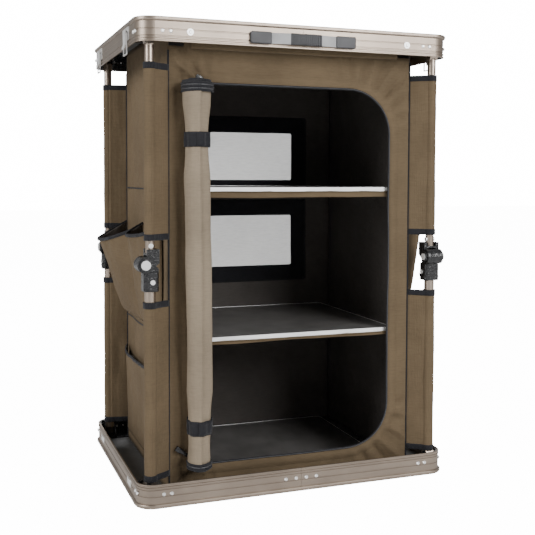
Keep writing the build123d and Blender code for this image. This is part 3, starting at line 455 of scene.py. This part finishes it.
def front_ring(grow_in, out, share, across):
    """A point of the front panel between the opening and the panel's outer edge."""
    half_width, low, high, radius = OPENING
    x, z = outline(share, half_width + grow_in, low - grow_in, high + grow_in, radius + grow_in, HINGE_R)
    middle = (low + high) / 2
    reach_x = CAB_X / max(abs(x), 1e-6)
    rise = z - middle
    limit = (COVER_HIGH - middle) if rise > 0 else (middle - COVER_LOW)
    reach_z = limit / max(abs(rise), 1e-6)
    grow = min(reach_x, reach_z)
    outer_x, outer_z = x * grow, middle + rise * grow
    if abs(outer_x) > CORNER_CUT[0]:
        outer_z = min(outer_z, CORNER_CUT[1])
    at_x, at_z = x + (outer_x - x) * across, z + (outer_z - z) * across
    return Vector((at_x, -CAB_Y - out - front_height(at_x, at_z), at_z))


def snap_corners(bm, y_sign):
    """Moves the nearest rim point onto each outer corner of the front panel."""
    for corner_x in (-CAB_X, CAB_X):
        for corner_z in (COVER_LOW, CORNER_CUT[1]):
            near = min(bm.verts, key=lambda v: hypot(v.co.x - corner_x, v.co.z - corner_z))
            near.co = Vector((corner_x, y_sign * CAB_Y, corner_z))


# Operators


class UNIT_OT_metalwork(bpy.types.Operator):
    """Gives every rigid piece its metal or moulded finish"""

    bl_idname = "unit.metalwork"
    bl_label = "Metalwork and mouldings"

    def execute(self, context):
        for part in frame["record"]["subparts"]:
            if part["material_slot"] in ("canvas", "roll_canvas", "webbing", "mesh"):
                continue
            node = frame["nodes"][part["node"]]
            node.data.materials.clear()
            node.data.materials.append(finish_for(part["material_slot"]))
        return {"FINISHED"}


class UNIT_OT_cabinet(bpy.types.Operator):
    """Sews the walls, roof and floor of the cloth cabinet"""

    bl_idname = "unit.cabinet"
    bl_label = "Cloth cabinet"

    def execute(self, context):
        thickness = context.scene.unit_sizes.cloth

        # Front panel, round the opening
        bm = grid(480, 20, lambda share, across: front_ring(0, 0, share, across))
        closed(bm, 0.00002)
        snap_corners(bm, -1)
        self.face_out(bm, Vector((0, -1, 0)))
        thicken(bm, thickness, 1)
        front = place_piece("cabinet_front", bm, "base", ["canvas", "lining"])
        squash_down(front)

        # Side panels
        for side, name in ((-1, "cabinet_left"), (1, "cabinet_right")):
            def wall_point(a, b, side=side):
                y, z = (a - 0.5) * 2 * CAB_Y, COVER_LOW + b * COVER_TALL
                return Vector((side * (CAB_X + side_height(side, y, z)), y, z))

            bm = grid(48, 80, wall_point)
            self.face_out(bm, Vector((side, 0, 0)))
            thicken(bm, thickness, 1)
            wall = place_piece(name, bm, "base", ["canvas", "lining"])
            squash_down(wall)

        # Back panel, with the window holes left open
        xs = self.lines(-CAB_X, CAB_X, 46, (-WINDOW_X, WINDOW_X))
        zs = self.lines(COVER_LOW, COVER_HIGH, 80, [z for band in WINDOWS for z in band])
        bm = grid(len(xs) - 1, len(zs) - 1, lambda a, b: Vector((
            xs[round(a * (len(xs) - 1))], 0, zs[round(b * (len(zs) - 1))])))
        holes = [face for face in bm.faces if abs(face.calc_center_median().x) < WINDOW_X and any(
            low < face.calc_center_median().z < high for low, high in WINDOWS)]
        bmesh.ops.delete(bm, geom=holes, context="FACES")
        for vert in bm.verts:
            vert.co.y = CAB_Y + back_height(vert.co.x, vert.co.z)
        self.face_out(bm, Vector((0, 1, 0)))
        thicken(bm, thickness, 1)
        back = place_piece("cabinet_back", bm, "base", ["canvas", "lining"])
        squash_down(back)
        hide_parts("fabric_cover")

        # Roof and floor
        for name, z, up in (
            ("cabinet_roof", COVER_HIGH - 0.0002, 1), ("cabinet_floor", COVER_LOW + 0.0015, -1),
        ):
            bm = grid(12, 10, lambda a, b, z=z: Vector(((a - 0.5) * 2 * CAB_X, (b - 0.5) * 2 * CAB_Y, z)))
            self.face_out(bm, Vector((0, 0, up)))
            thicken(bm, thickness, 1)
            sheet = place_piece(name, bm, "top_tray" if up > 0 else "base", ["canvas", "lining"])
        return {"FINISHED"}

    @staticmethod
    def lines(first, last, count, edges):
        """Even grid lines that give way to the windows' edges where they come near."""
        even = (first + (last - first) * i / count for i in range(count + 1))
        return sorted({first, last, *edges} | {
            line for line in even if min(abs(line - edge) for edge in edges) > 0.004})

    @staticmethod
    def front_area():
        """Area of the front panel without its opening."""
        half_width, low, high, radius = OPENING
        hole = 2 * half_width * (high - low) - (2 - pi / 2) * radius ** 2
        return 2 * CAB_X * COVER_TALL - hole

    @staticmethod
    def face_out(bm, outward):
        """Turns a sheet's faces to one side."""
        bm.normal_update()
        wrong = [face for face in bm.faces if face.normal.dot(outward) < 0]
        if wrong:
            bmesh.ops.reverse_faces(bm, faces=wrong)


class UNIT_OT_valance(bpy.types.Operator):
    """Hangs the short flap round the top and the corded seams of the cabinet"""

    bl_idname = "unit.valance"
    bl_label = "Valance and corded seams"

    def execute(self, context):
        low, high = FLAP_LOW, COVER_HIGH
        for end, name in ((-1, "valance"), (1, "valance_back")):
            def flap(a, b, end=end):
                x = FLAP_LEFT + FLAP_WIDTH * a
                sway = 0.0012 * noise.noise(Vector((x * 14, end, 5))) * (1 - b)
                stand = 0.011 * (1 - b ** 3) + 0.0012
                z = low + 0.003 * (a - 0.5) ** 2 + (high - low) * b
                return Vector((x, end * (CAB_Y + stand + sway), z))

            bm = grid(90, 8, flap)
            UNIT_OT_cabinet.face_out(bm, Vector((0, end, 0)))
            thicken(bm, 0.0014, 1)
            valance = place_piece(name, bm, "base", ["canvas", "lining"])
            squash_down(valance)

        # Corded seams up the four corners; their dark webbing finish is painted shade for the shadowed groove
        # at each corner
        bm = bmesh.new()
        for side in (-1, 1):
            for end in (-1, 1):
                add_grid(bm, 8, 40, lambda a, b, side=side, end=end: Vector((
                    side * CAB_X + CORD_R * cos(2 * pi * a), end * CAB_Y + CORD_R * sin(2 * pi * a),
                    COVER_LOW + (CORD_HIGH - COVER_LOW) * b)), wrap=True)
        bmesh.ops.holes_fill(bm, edges=bm.edges, sides=12)
        bmesh.ops.recalc_face_normals(bm, faces=bm.faces)
        # The cords' dark finish is painted shade, not their own colour
        shade_cording = place_piece("corded_seams_painted_shade", bm, "base", ["webbing"])
        squash_down(shade_cording)
        return {"FINISHED"}


class UNIT_OT_leg_sleeves(bpy.types.Operator):
    """Sews the sleeves round the legs and the wings that join them to the cabinet"""

    bl_idname = "unit.leg_sleeves"
    bl_label = "Leg sleeves and wings"

    def execute(self, context):
        for corner, (leg_x, leg_y, side, end) in LEGS.items():
            for half, (low, high), tube in LEG_TUBES:
                radius = tube + SLEEVE_EASE
                self.sleeve(corner, half, leg_x, leg_y, low, high, radius)
                self.wing(corner, half, leg_x, leg_y, side, end, low, high, radius)
        return {"FINISHED"}

    def sleeve(self, corner, half, leg_x, leg_y, low, high, radius):
        """A cloth tube round one half of a leg, with bound ends."""
        seed = leg_x * 40 + leg_y * 17 + low

        def skin(a, b, grow=0.0, z_low=low, z_high=high):
            z = z_low + (z_high - z_low) * b
            angle = 2 * pi * a
            loose = 0.0007 * noise.noise(Vector((cos(angle) * 2, sin(angle) * 2 + seed, z * 14)))
            loose += 0.0003 * noise.noise(Vector((cos(angle), seed + sin(angle), z * 60)))
            size = radius + grow + loose
            return Vector((leg_x + size * cos(angle), leg_y + size * sin(angle), z))

        bm = closed(grid(28, 70, skin))
        thicken(bm, 0.001, 0)
        body = f"{half}_leg_{corner}"
        tube = place_piece(f"sleeve_{half}_{corner}", bm, body, ["canvas"])
        bm = bmesh.new()
        for z_low, z_high in ((low, low + BINDING), (high - BINDING, high)):
            add_grid(bm, 28, 4, lambda a, b, zl=z_low, zh=z_high: skin(a, b, 0.0009, zl, zh), wrap=True)
        bmesh.ops.recalc_face_normals(bm, faces=bm.faces)
        thicken(bm, 0.0009, 0)
        place_piece(f"sleeve_binding_{half}_{corner}", bm, body, ["webbing"])

    def wing(self, corner, half, leg_x, leg_y, side, end, low, high, radius):
        """The flat cloth between the cabinet's corner and the sleeve."""
        start = Vector((side * (CAB_X - 0.001), end * (CAB_Y + 0.0005), 0))
        finish = Vector((leg_x, leg_y - radius - 0.0004, 0))
        seed = 60 + leg_x * 9 + leg_y * 5

        def web(a, b, grow=0.0, z_low=low, z_high=high):
            z = z_low + (z_high - z_low) * b
            point = start.lerp(finish, a)
            wave = 0.0022 * sin(pi * a) * noise.noise(Vector((a * 2, seed, z * 16)))
            return Vector((point.x, point.y + end * (wave + grow), z))

        bm = grid(10, 60, web)
        UNIT_OT_cabinet.face_out(bm, Vector((0, end, 0)))
        thicken(bm, 0.001, 0)
        wing = place_piece(f"wing_{half}_{corner}", bm, "base", ["canvas"])
        squash_down(wing)
        bm = bmesh.new()
        for z_low, z_high in ((low, low + BINDING), (high - BINDING, high)):
            add_grid(bm, 10, 4, lambda a, b, zl=z_low, zh=z_high: web(a, b, 0.0007, zl, zh))
        UNIT_OT_cabinet.face_out(bm, Vector((0, end, 0)))
        thicken(bm, 0.0018, 0)
        binding = place_piece(f"wing_binding_{half}_{corner}", bm, "base", ["webbing"])
        squash_down(binding)


class UNIT_OT_door_opening(bpy.types.Operator):
    """Puts the hem, the zip and its sliders round the door opening"""

    bl_idname = "unit.door_opening"
    bl_label = "Door opening"

    def execute(self, context):
        half_width, low, high, radius = OPENING

        def around(grow_low, grow_high, lift, share, across, bead=0.0):
            grow = grow_low + (grow_high - grow_low) * across
            x, z = outline(share, half_width + grow, low - grow, high + grow, radius + grow, HINGE_R)
            rise = lift * sin(pi * across) + 0.0004
            return Vector((x, -CAB_Y - front_height(x, z) - rise - bead, z))

        # Facing cloth with two raised edges
        bm = closed(grid(360, 6, lambda a, b: around(0.0015, 0.019, 0.0016, a, b)))
        UNIT_OT_cabinet.face_out(bm, Vector((0, -1, 0)))
        hem = place_piece("door_hem", bm, "base", ["canvas"])
        squash_down(hem)
        # Zip tape
        bm = closed(grid(360, 4, lambda a, b: around(-0.0028, 0.0014, 0.0009, a, b, 0.0004)))
        UNIT_OT_cabinet.face_out(bm, Vector((0, -1, 0)))
        thicken(bm, 0.001, 0)
        tape = place_piece("zip_tape", bm, "base", ["webbing"])
        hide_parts("door_zip")
        squash_down(tape)
        # Coil of the zip
        teeth = 900
        bm = closed(grid(teeth, 4, lambda a, b: around(
            -0.0012, 0.0003, 0.0011, a, b, 0.0010 + (0.0005 if round(a * teeth) % 2 else 0.0))))
        UNIT_OT_cabinet.face_out(bm, Vector((0, -1, 0)))
        coil = place_piece("zip_coil", bm, "base", ["grey_moulding"])
        squash_down(coil)
        # Sliders with pulls
        bm = bmesh.new()
        for x, z, lean in ((-0.222, 0.088, -0.95), (-0.184, 0.7485, -1.1)):
            place = Matrix.Translation((x, -CAB_Y - 0.0045, z)) @ Matrix.Rotation(lean, 4, "Y")
            made = bmesh.ops.create_cube(bm, size=1, matrix=place @ Matrix.Diagonal((0.009, 0.005, 0.012, 1)))
            made["verts"] += bmesh.ops.create_cube(bm, size=1, matrix=place @ Matrix.Translation(
                (0, -0.0022, -0.016)) @ Matrix.Diagonal((0.006, 0.0018, 0.024, 1)))["verts"]
        bmesh.ops.bevel(bm, geom=bm.edges, offset=0.0008, affect="EDGES", segments=2, profile=0.5,
                        material=-1)
        sliders = place_piece("zip_sliders", bm, "base", ["black_moulding"])
        squash_down(sliders)
        return {"FINISHED"}


def roll_size(z):
    """Radius of the rolled door at a height, drawn in by its straps."""
    full = bpy.context.scene.unit_sizes.roll_radius
    drawn = sum(0.0042 * max(0.0, 1 - (abs(z - at) / 0.060) ** 2) for at in STRAP_MIDDLES)
    ends = 0.0042 * max(0.0, (z - 0.65) / 0.1) - 0.0042 * max(0.0, (0.14 - z) / 0.1)
    return full - drawn + ends + 0.0012 * noise.noise(Vector((4, 2, z * 9)))


def roll_point(angle, share_out, z, lift=0.0):
    """A point on the rolled door: angle round the roll, from the core (0) to the outside (1)."""
    size = roll_size(z)
    radius = ROLL_CORE + (size - ROLL_CORE) * share_out
    dents = 0.0011 * noise.noise(Vector((cos(angle) * 1.4, sin(angle) * 1.4, z * 7 + 3)))
    dents += 0.0006 * noise.noise(Vector((cos(angle) * 3, sin(angle) * 3, z * 22)))
    for at in STRAP_MIDDLES:
        gather = max(0.0, 1 - abs(z - at) / 0.075) ** 2
        dents += 0.0017 * gather * sin(7 * angle + 14 * (z - at) + 2 * noise.noise(Vector((angle, z * 6, 1))))
    dents += 0.0008 * sin(3 * angle + 9 * z)
    radius += dents * share_out + lift
    lean = 0.002 * sin(z * 6)
    return Vector((ROLL[0] + lean + radius * cos(angle), ROLL[1] + radius * sin(angle), z))


class UNIT_OT_door_roll(bpy.types.Operator):
    """Rolls up the door beside the opening"""

    bl_idname = "unit.door_roll"
    bl_label = "Rolled door"

    def execute(self, context):
        turns = context.scene.unit_sizes.roll_turns
        low, high = ROLL_ENDS

        def spiral(a, b):
            angle = 2 * pi * turns * a + 0.9
            drift = 0.004 * (1 - a) * (1 if b > 0.5 else -1) * abs(2 * b - 1)
            z = low + (high - low) * b + drift + 0.002 * noise.noise(Vector((a * 9, b, 1))) * abs(2 * b - 1)
            return roll_point(angle, a, z)

        bm = grid(150, 110, spiral)
        for face in bm.faces:
            z = face.calc_center_median().z
            if z > ROLL_TAPED[1] or z < ROLL_TAPED[0]:
                face.material_index = 1
        bm.normal_update()
        bmesh.ops.solidify(bm, geom=list(bm.faces), thickness=-0.0018)
        bmesh.ops.recalc_face_normals(bm, faces=bm.faces)
        roll = place_piece("rolled_door", bm, "base", ["roll_canvas", "webbing"])
        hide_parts("door_roll")
        squash_down(roll)
        # Zip tapes stacked round the ends of the roll
        for name, slot, rings in (("roll_end_tapes", "webbing", (0.0605, 0.0695, 0.7225, 0.7290, 0.7355)),
                                  ("roll_end_coils", "grey_moulding", (0.0650, 0.7258, 0.7323))):
            bm = bmesh.new()
            for at in rings:
                def ring(a, b, at=at, fat=0.0021 if slot == "webbing" else 0.0013):
                    edge = roll_point(2 * pi * a, 1.0, at, 0.0006)
                    out = Vector((edge.x - ROLL[0], edge.y - ROLL[1], 0)).normalized()
                    return edge + out * fat * cos(2 * pi * b) + Vector((0, 0, fat * sin(2 * pi * b)))

                add_grid(bm, 48, 8, ring, wrap=True)
            bmesh.ops.recalc_face_normals(bm, faces=bm.faces)
            tapes = place_piece(name, bm, "base", [slot])
            squash_down(tapes)
        return {"FINISHED"}


class UNIT_OT_roll_straps(bpy.types.Operator):
    """Ties the rolled door with two webbing straps"""

    bl_idname = "unit.roll_straps"
    bl_label = "Roll straps"

    def execute(self, context):
        bm = bmesh.new()
        for low, high in ROLL_STRAPS:
            add_grid(bm, 60, 6, lambda a, b, low=low, high=high: roll_point(
                2 * pi * a, 1.0, low + (high - low) * b, 0.0028 + 0.0003 * sin(pi * b)), wrap=True)
            # Tail of the strap, lapped over itself
            add_grid(bm, 16, 6, lambda a, b, low=low, high=high: roll_point(
                -1.9 + 1.1 * a, 1.0, low + 0.002 + (high - low - 0.004) * b, 0.0046))
            # Tab sewn to the front panel
            add_grid(bm, 8, 6, lambda a, b, low=low, high=high: Vector((
                ROLL[0] - 0.004 - 0.012 * a, -CAB_Y - 0.0052 + 0.002 * a, low + (high - low) * b)))
        bmesh.ops.recalc_face_normals(bm, faces=bm.faces)
        bmesh.ops.solidify(bm, geom=list(bm.faces), thickness=0.0014)
        bmesh.ops.recalc_face_normals(bm, faces=bm.faces)
        straps = place_piece("door_straps", bm, "base", ["webbing"])
        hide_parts("roll_straps")
        squash_down(straps)
        return {"FINISHED"}


class UNIT_OT_mesh_windows(bpy.types.Operator):
    """Sets the two net windows into the back panel"""

    bl_idname = "unit.mesh_windows"
    bl_label = "Net windows"

    def execute(self, context):
        for name, (low, high) in zip(("window_net_lower", "window_net_upper"), WINDOWS):
            def net_point(a, b, low=low, high=high):
                x, z = (a - 0.5) * 2 * (WINDOW_X + 0.004), low - 0.004 + (high - low + 0.008) * b
                return Vector((x, CAB_Y - 0.0006 + back_height(x, z), z))

            bm = grid(40, 18, net_point)
            UNIT_OT_cabinet.face_out(bm, Vector((0, 1, 0)))
            thicken(bm, 0.0005, 0)
            net = place_piece(name, bm, "base", ["mesh"])
            if name == "window_net_lower":
                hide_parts("mesh_windows")
            squash_down(net)
        for face_name, out, y_sign, wide in (
            ("window_facing", -0.0022, -1, 0.030), ("window_binding", 0.0014, 1, 0.008),
        ):
            bm = bmesh.new()
            for low, high in WINDOWS:
                def band(a, b, low=low, high=high, wide=wide):
                    grow = -0.006 + (wide + 0.006) * b
                    x, z = outline(a, WINDOW_X + grow, low - grow, high + grow, WINDOW_EDGE)
                    return Vector((x, CAB_Y + back_height(x, z) + out, z))

                add_grid(bm, 200, 4, band, wrap=True)
            UNIT_OT_cabinet.face_out(bm, Vector((0, y_sign, 0)))
            thicken(bm, 0.0008, 0)
            binding = place_piece(face_name, bm, "base", ["webbing"])
            squash_down(binding)
        return {"FINISHED"}


class UNIT_OT_side_pockets(bpy.types.Operator):
    """Sews the hanging pockets onto the side walls"""

    bl_idname = "unit.side_pockets"
    bl_label = "Side pockets"

    def execute(self, context):
        # Name, side, y from and to, foot, mouth, bulge, sag of the mouth's lip
        pockets = (
            ("pocket_rear", -1, 0.022, 0.180, 0.288, 0.478, 0.066, 0.034),
            ("pocket_front", -1, -0.150, 0.016, 0.290, 0.482, 0.040, 0.020),
            ("pocket_low", -1, -0.150, 0.176, 0.030, 0.212, 0.011, 0.008),
            ("pocket_right", 1, -0.160, 0.176, 0.290, 0.480, 0.049, 0.020),
        )
        for name, side, y_low, y_high, foot, mouth, bulge, sag in pockets:
            self.pocket(name, side, y_low, y_high, foot, mouth, bulge, sag)
        return {"FINISHED"}

    def pocket(self, name, side, y_low, y_high, foot, mouth, bulge, sag):
        """A bag of cloth that stands off the wall, with a bound mouth."""

        def shape(a, b, grow=0.0):
            y = y_low + (y_high - y_low) * a
            peak = 0.8 if side < 0 else 0.07
            rise = a / peak if a < peak else (1 - a) / (1 - peak)
            full = max(0.0, sin(pi / 2 * min(1.0, max(0.0, rise)))) ** 0.6
            belly = (b ** 0.45) * (0.75 + 0.25 * b) if side < 0 else b ** 0.34
            stand = bulge * full * belly
            drop = sag * full * b ** 3
            z = foot + (mouth - foot) * b - drop
            crumple = 0.004 * min(1, bulge / 0.02) * full * noise.noise(Vector((y * 22, z * 18, foot * 9)))
            crumple += 0.0018 * full * noise.noise(Vector((y * 60, z * 40, 3)))
            return Vector((side * (CAB_X + 0.0032 + stand + crumple * b ** 0.3 + grow), y, z))

        bm = grid(40, 40, shape)
        UNIT_OT_cabinet.face_out(bm, Vector((side, 0, 0)))
        thicken(bm, 0.0012, 1)
        bag = place_piece(name, bm, "base", ["canvas", "lining"])
        squash_down(bag)
        if name == "pocket_rear":
            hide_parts("side_pockets")

        def mouth_band(a, b):
            point = shape(a, 1.0, 0.0)
            return Vector((point.x + 0.002 * cos(2 * pi * b), point.y,
                           point.z + 0.0035 * sin(2 * pi * b)))

        bm = closed(grid(40, 10, mouth_band))
        bmesh.ops.recalc_face_normals(bm, faces=bm.faces)
        band = place_piece(f"{name}_binding", bm, "base", ["webbing"])
        squash_down(band)


class UNIT_OT_shelf_slings(bpy.types.Operator):
    """Sews the slings that carry the shelves, with their front hems and wall seams"""

    bl_idname = "unit.shelf_slings"
    bl_label = "Shelf slings"

    def execute(self, context):
        width, depth = 2 * (CAB_X - SLING_GAP[0]), 2 * (CAB_Y - SLING_GAP[1])
        for shelf in ("shelf_lower", "shelf_upper"):
            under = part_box(shelf)[0].z - 0.0006

            def sling(a, b, under=under):
                dip = 0.004 * sin(pi * a) * noise.noise(Vector((a * 5, b * 4, under * 9)))
                return Vector(((a - 0.5) * width, (b - 0.5) * depth, under - abs(dip)))

            bm = grid(50, 24, sling)
            UNIT_OT_cabinet.face_out(bm, Vector((0, 0, -1)))
            thicken(bm, 0.0012, 0)
            sheet = place_piece(f"{shelf}_sling", bm, shelf, ["canvas"])

            def hem(a, b, under=under):
                x = (a - 0.5) * 2 * (CAB_X - 0.006)
                drop = (0.011 if under > 0.4 else 0.005) + 0.002 * noise.noise(Vector((a * 4, under * 9, 2)))
                drop *= min(1.0, (1 - abs(2 * a - 1)) * 9 + 0.25)
                y = -CAB_Y + 0.0085 + 0.0015 * noise.noise(Vector((a * 9, b, 4)))
                return Vector((x, y, under - drop * (1 - b)))

            bm = grid(80, 5, hem)
            UNIT_OT_cabinet.face_out(bm, Vector((0, -1, 0)))
            thicken(bm, 0.0012, 0)
            place_piece(f"{shelf}_hem", bm, shelf, ["canvas"])
        # Stitched seams on the side walls, level with the shelves
        bm = bmesh.new()
        for side in (-1, 1):
            for z in SHELF_SEAMS:
                def seam(a, b, side=side, z=z):
                    y = (a - 0.5) * 2 * CAB_Y
                    x = CAB_X + 0.0009 + side_height(side, y, z)
                    return Vector((side * x, y, z - 0.0014 + 0.0028 * b))

                add_grid(bm, 60, 2, seam)
        seams = place_piece("shelf_seams", bm, "base", ["webbing"])
        squash_down(seams)
        return {"FINISHED"}


class UNIT_OT_handle_grip(bpy.types.Operator):
    """Moulds the ribbed grip on the middle of the handle's strap"""

    bl_idname = "unit.handle_grip"
    bl_label = "Handle grip"

    def execute(self, context):
        near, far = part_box("handle_strap")
        reach = 0.060
        outer = near.y

        def grip(a, b):
            x = -0.027 + 0.060 * a
            bow = 0.004 * (1 - (x / reach) ** 2)
            rib = 0.0004 * (1 if int(a * 68) % 2 else -1)
            across, up = outline(b, 0.0024 + rib, -0.0102 - rib, 0.0102 + rib, 0.002)
            middle = outer + 0.004 - bow + 0.0015
            return Vector((x, middle + across, (near.z + far.z) / 2 + up))

        bm = grid(136, 28, grip)
        closed(bm, 0.00001)
        ends = [edge for edge in bm.edges if edge.is_boundary]
        bmesh.ops.holes_fill(bm, edges=ends, sides=60)
        bmesh.ops.recalc_face_normals(bm, faces=bm.faces)
        place_piece("handle_grip", bm, "top_tray", ["grey_moulding"], smooth=False)
        return {"FINISHED"}


class UNIT_OT_stage(bpy.types.Operator):
    """Sets the floor, the light and the camera"""

    bl_idname = "unit.stage"
    bl_label = "Studio"

    def execute(self, context):
        scene = context.scene
        bm = bmesh.new()
        bmesh.ops.create_grid(bm, x_segments=1, y_segments=1, size=14)
        mesh = bpy.data.meshes.new("floor")
        bm.to_mesh(mesh)
        bm.free()
        floor = bpy.data.objects.new("floor", mesh)
        scene.collection.objects.link(floor)
        floor_material, nodes, links, shader, place = start_material("Studio floor")
        haze = speckle(nodes, links, place.outputs["Object"], 3.0)
        tone = tint(nodes, links, haze, (0.90, 0.90, 0.90), (0.93, 0.93, 0.93))
        links.new(tone, shader.inputs["Base Color"])
        shader.inputs["Roughness"].default_value = 0.9
        glow = nodes.new("ShaderNodeLightPath")
        lift = nodes.new("ShaderNodeMath")
        lift.operation = "MULTIPLY"
        lift.inputs[1].default_value = 14.0
        links.new(glow.outputs["Is Camera Ray"], lift.inputs[0])
        shader.inputs["Emission Color"].default_value = (1, 1, 1, 1)
        links.new(lift.outputs["Value"], shader.inputs["Emission Strength"])
        mesh.materials.append(floor_material)

        world = bpy.data.worlds.new("Studio")
        world.use_nodes = True
        backdrop = world.node_tree.nodes["Background"]
        backdrop.inputs["Color"].default_value = (1, 1, 1, 1)
        seen = world.node_tree.nodes.new("ShaderNodeLightPath")
        power = world.node_tree.nodes.new("ShaderNodeMapRange")
        power.inputs["To Min"].default_value = 0.42
        power.inputs["To Max"].default_value = 16.0
        world.node_tree.links.new(seen.outputs["Is Camera Ray"], power.inputs["Value"])
        world.node_tree.links.new(power.outputs["Result"], backdrop.inputs["Strength"])
        scene.world = world

        for name, spot, size, power in (
            ("Key", (1.3, -3.1, 1.9), 1.6, 120), ("Fill", (-3.2, -0.9, 2.0), 1.6, 105),
            ("Rim", (0.8, 2.8, 2.2), 2.0, 40),
        ):
            light = bpy.data.lights.new(name, "AREA")
            light.energy = power
            light.size = size
            lamp = bpy.data.objects.new(name, light)
            scene.collection.objects.link(lamp)
            lamp.location = spot
            lamp.rotation_euler = (Vector((0, 0, 0.42)) - Vector(spot)).to_track_quat("-Z", "Y").to_euler()

        camera = bpy.data.cameras.new("Camera")
        camera.sensor_width = 36
        camera.lens = 59.36
        camera.shift_y = -0.0837
        camera.clip_start = 0.05
        eye = bpy.data.objects.new("Camera", camera)
        scene.collection.objects.link(eye)
        eye.location = (-0.6064, -1.7013, 0.5728)
        turn = Matrix.Rotation(radians(-20.08), 4, "Z") @ Matrix.Rotation(radians(90 - 2.91), 4, "X")
        turn = turn @ Matrix.Rotation(radians(0.17), 4, "Z")
        eye.rotation_euler = turn.to_euler()
        scene.camera = eye
        return {"FINISHED"}


OPERATORS = (
    UNIT_OT_metalwork, UNIT_OT_cabinet, UNIT_OT_valance, UNIT_OT_leg_sleeves, UNIT_OT_door_opening,
    UNIT_OT_door_roll, UNIT_OT_roll_straps, UNIT_OT_mesh_windows, UNIT_OT_side_pockets, UNIT_OT_shelf_slings,
    UNIT_OT_handle_grip, UNIT_OT_stage,
)


class UNIT_PT_panel(bpy.types.Panel):
    """Lists the pieces and their settings"""

    bl_idname = "UNIT_PT_panel"
    bl_label = "Folding storage unit"
    bl_space_type = "VIEW_3D"
    bl_region_type = "UI"
    bl_category = "Unit"

    def draw(self, context):
        for group in (context.scene.unit_colours, context.scene.unit_sizes):
            for name in group.__annotations__:
                self.layout.prop(group, name)
        for operator in OPERATORS:
            self.layout.operator(operator.bl_idname)


CLASSES = (UnitColours, UnitSizes, *OPERATORS, UNIT_PT_panel)


def register():
    for cls in CLASSES:
        bpy.utils.register_class(cls)
    bpy.types.Scene.unit_colours = bpy.props.PointerProperty(type=UnitColours)
    bpy.types.Scene.unit_sizes = bpy.props.PointerProperty(type=UnitSizes)


def unregister():
    del bpy.types.Scene.unit_sizes
    del bpy.types.Scene.unit_colours
    for cls in reversed(CLASSES):
        bpy.utils.unregister_class(cls)


def main():
    register()
    for operator in OPERATORS:
        category, name = operator.bl_idname.split(".")
        getattr(getattr(bpy.ops, category), name)()


if __name__ == "__main__":
    main()
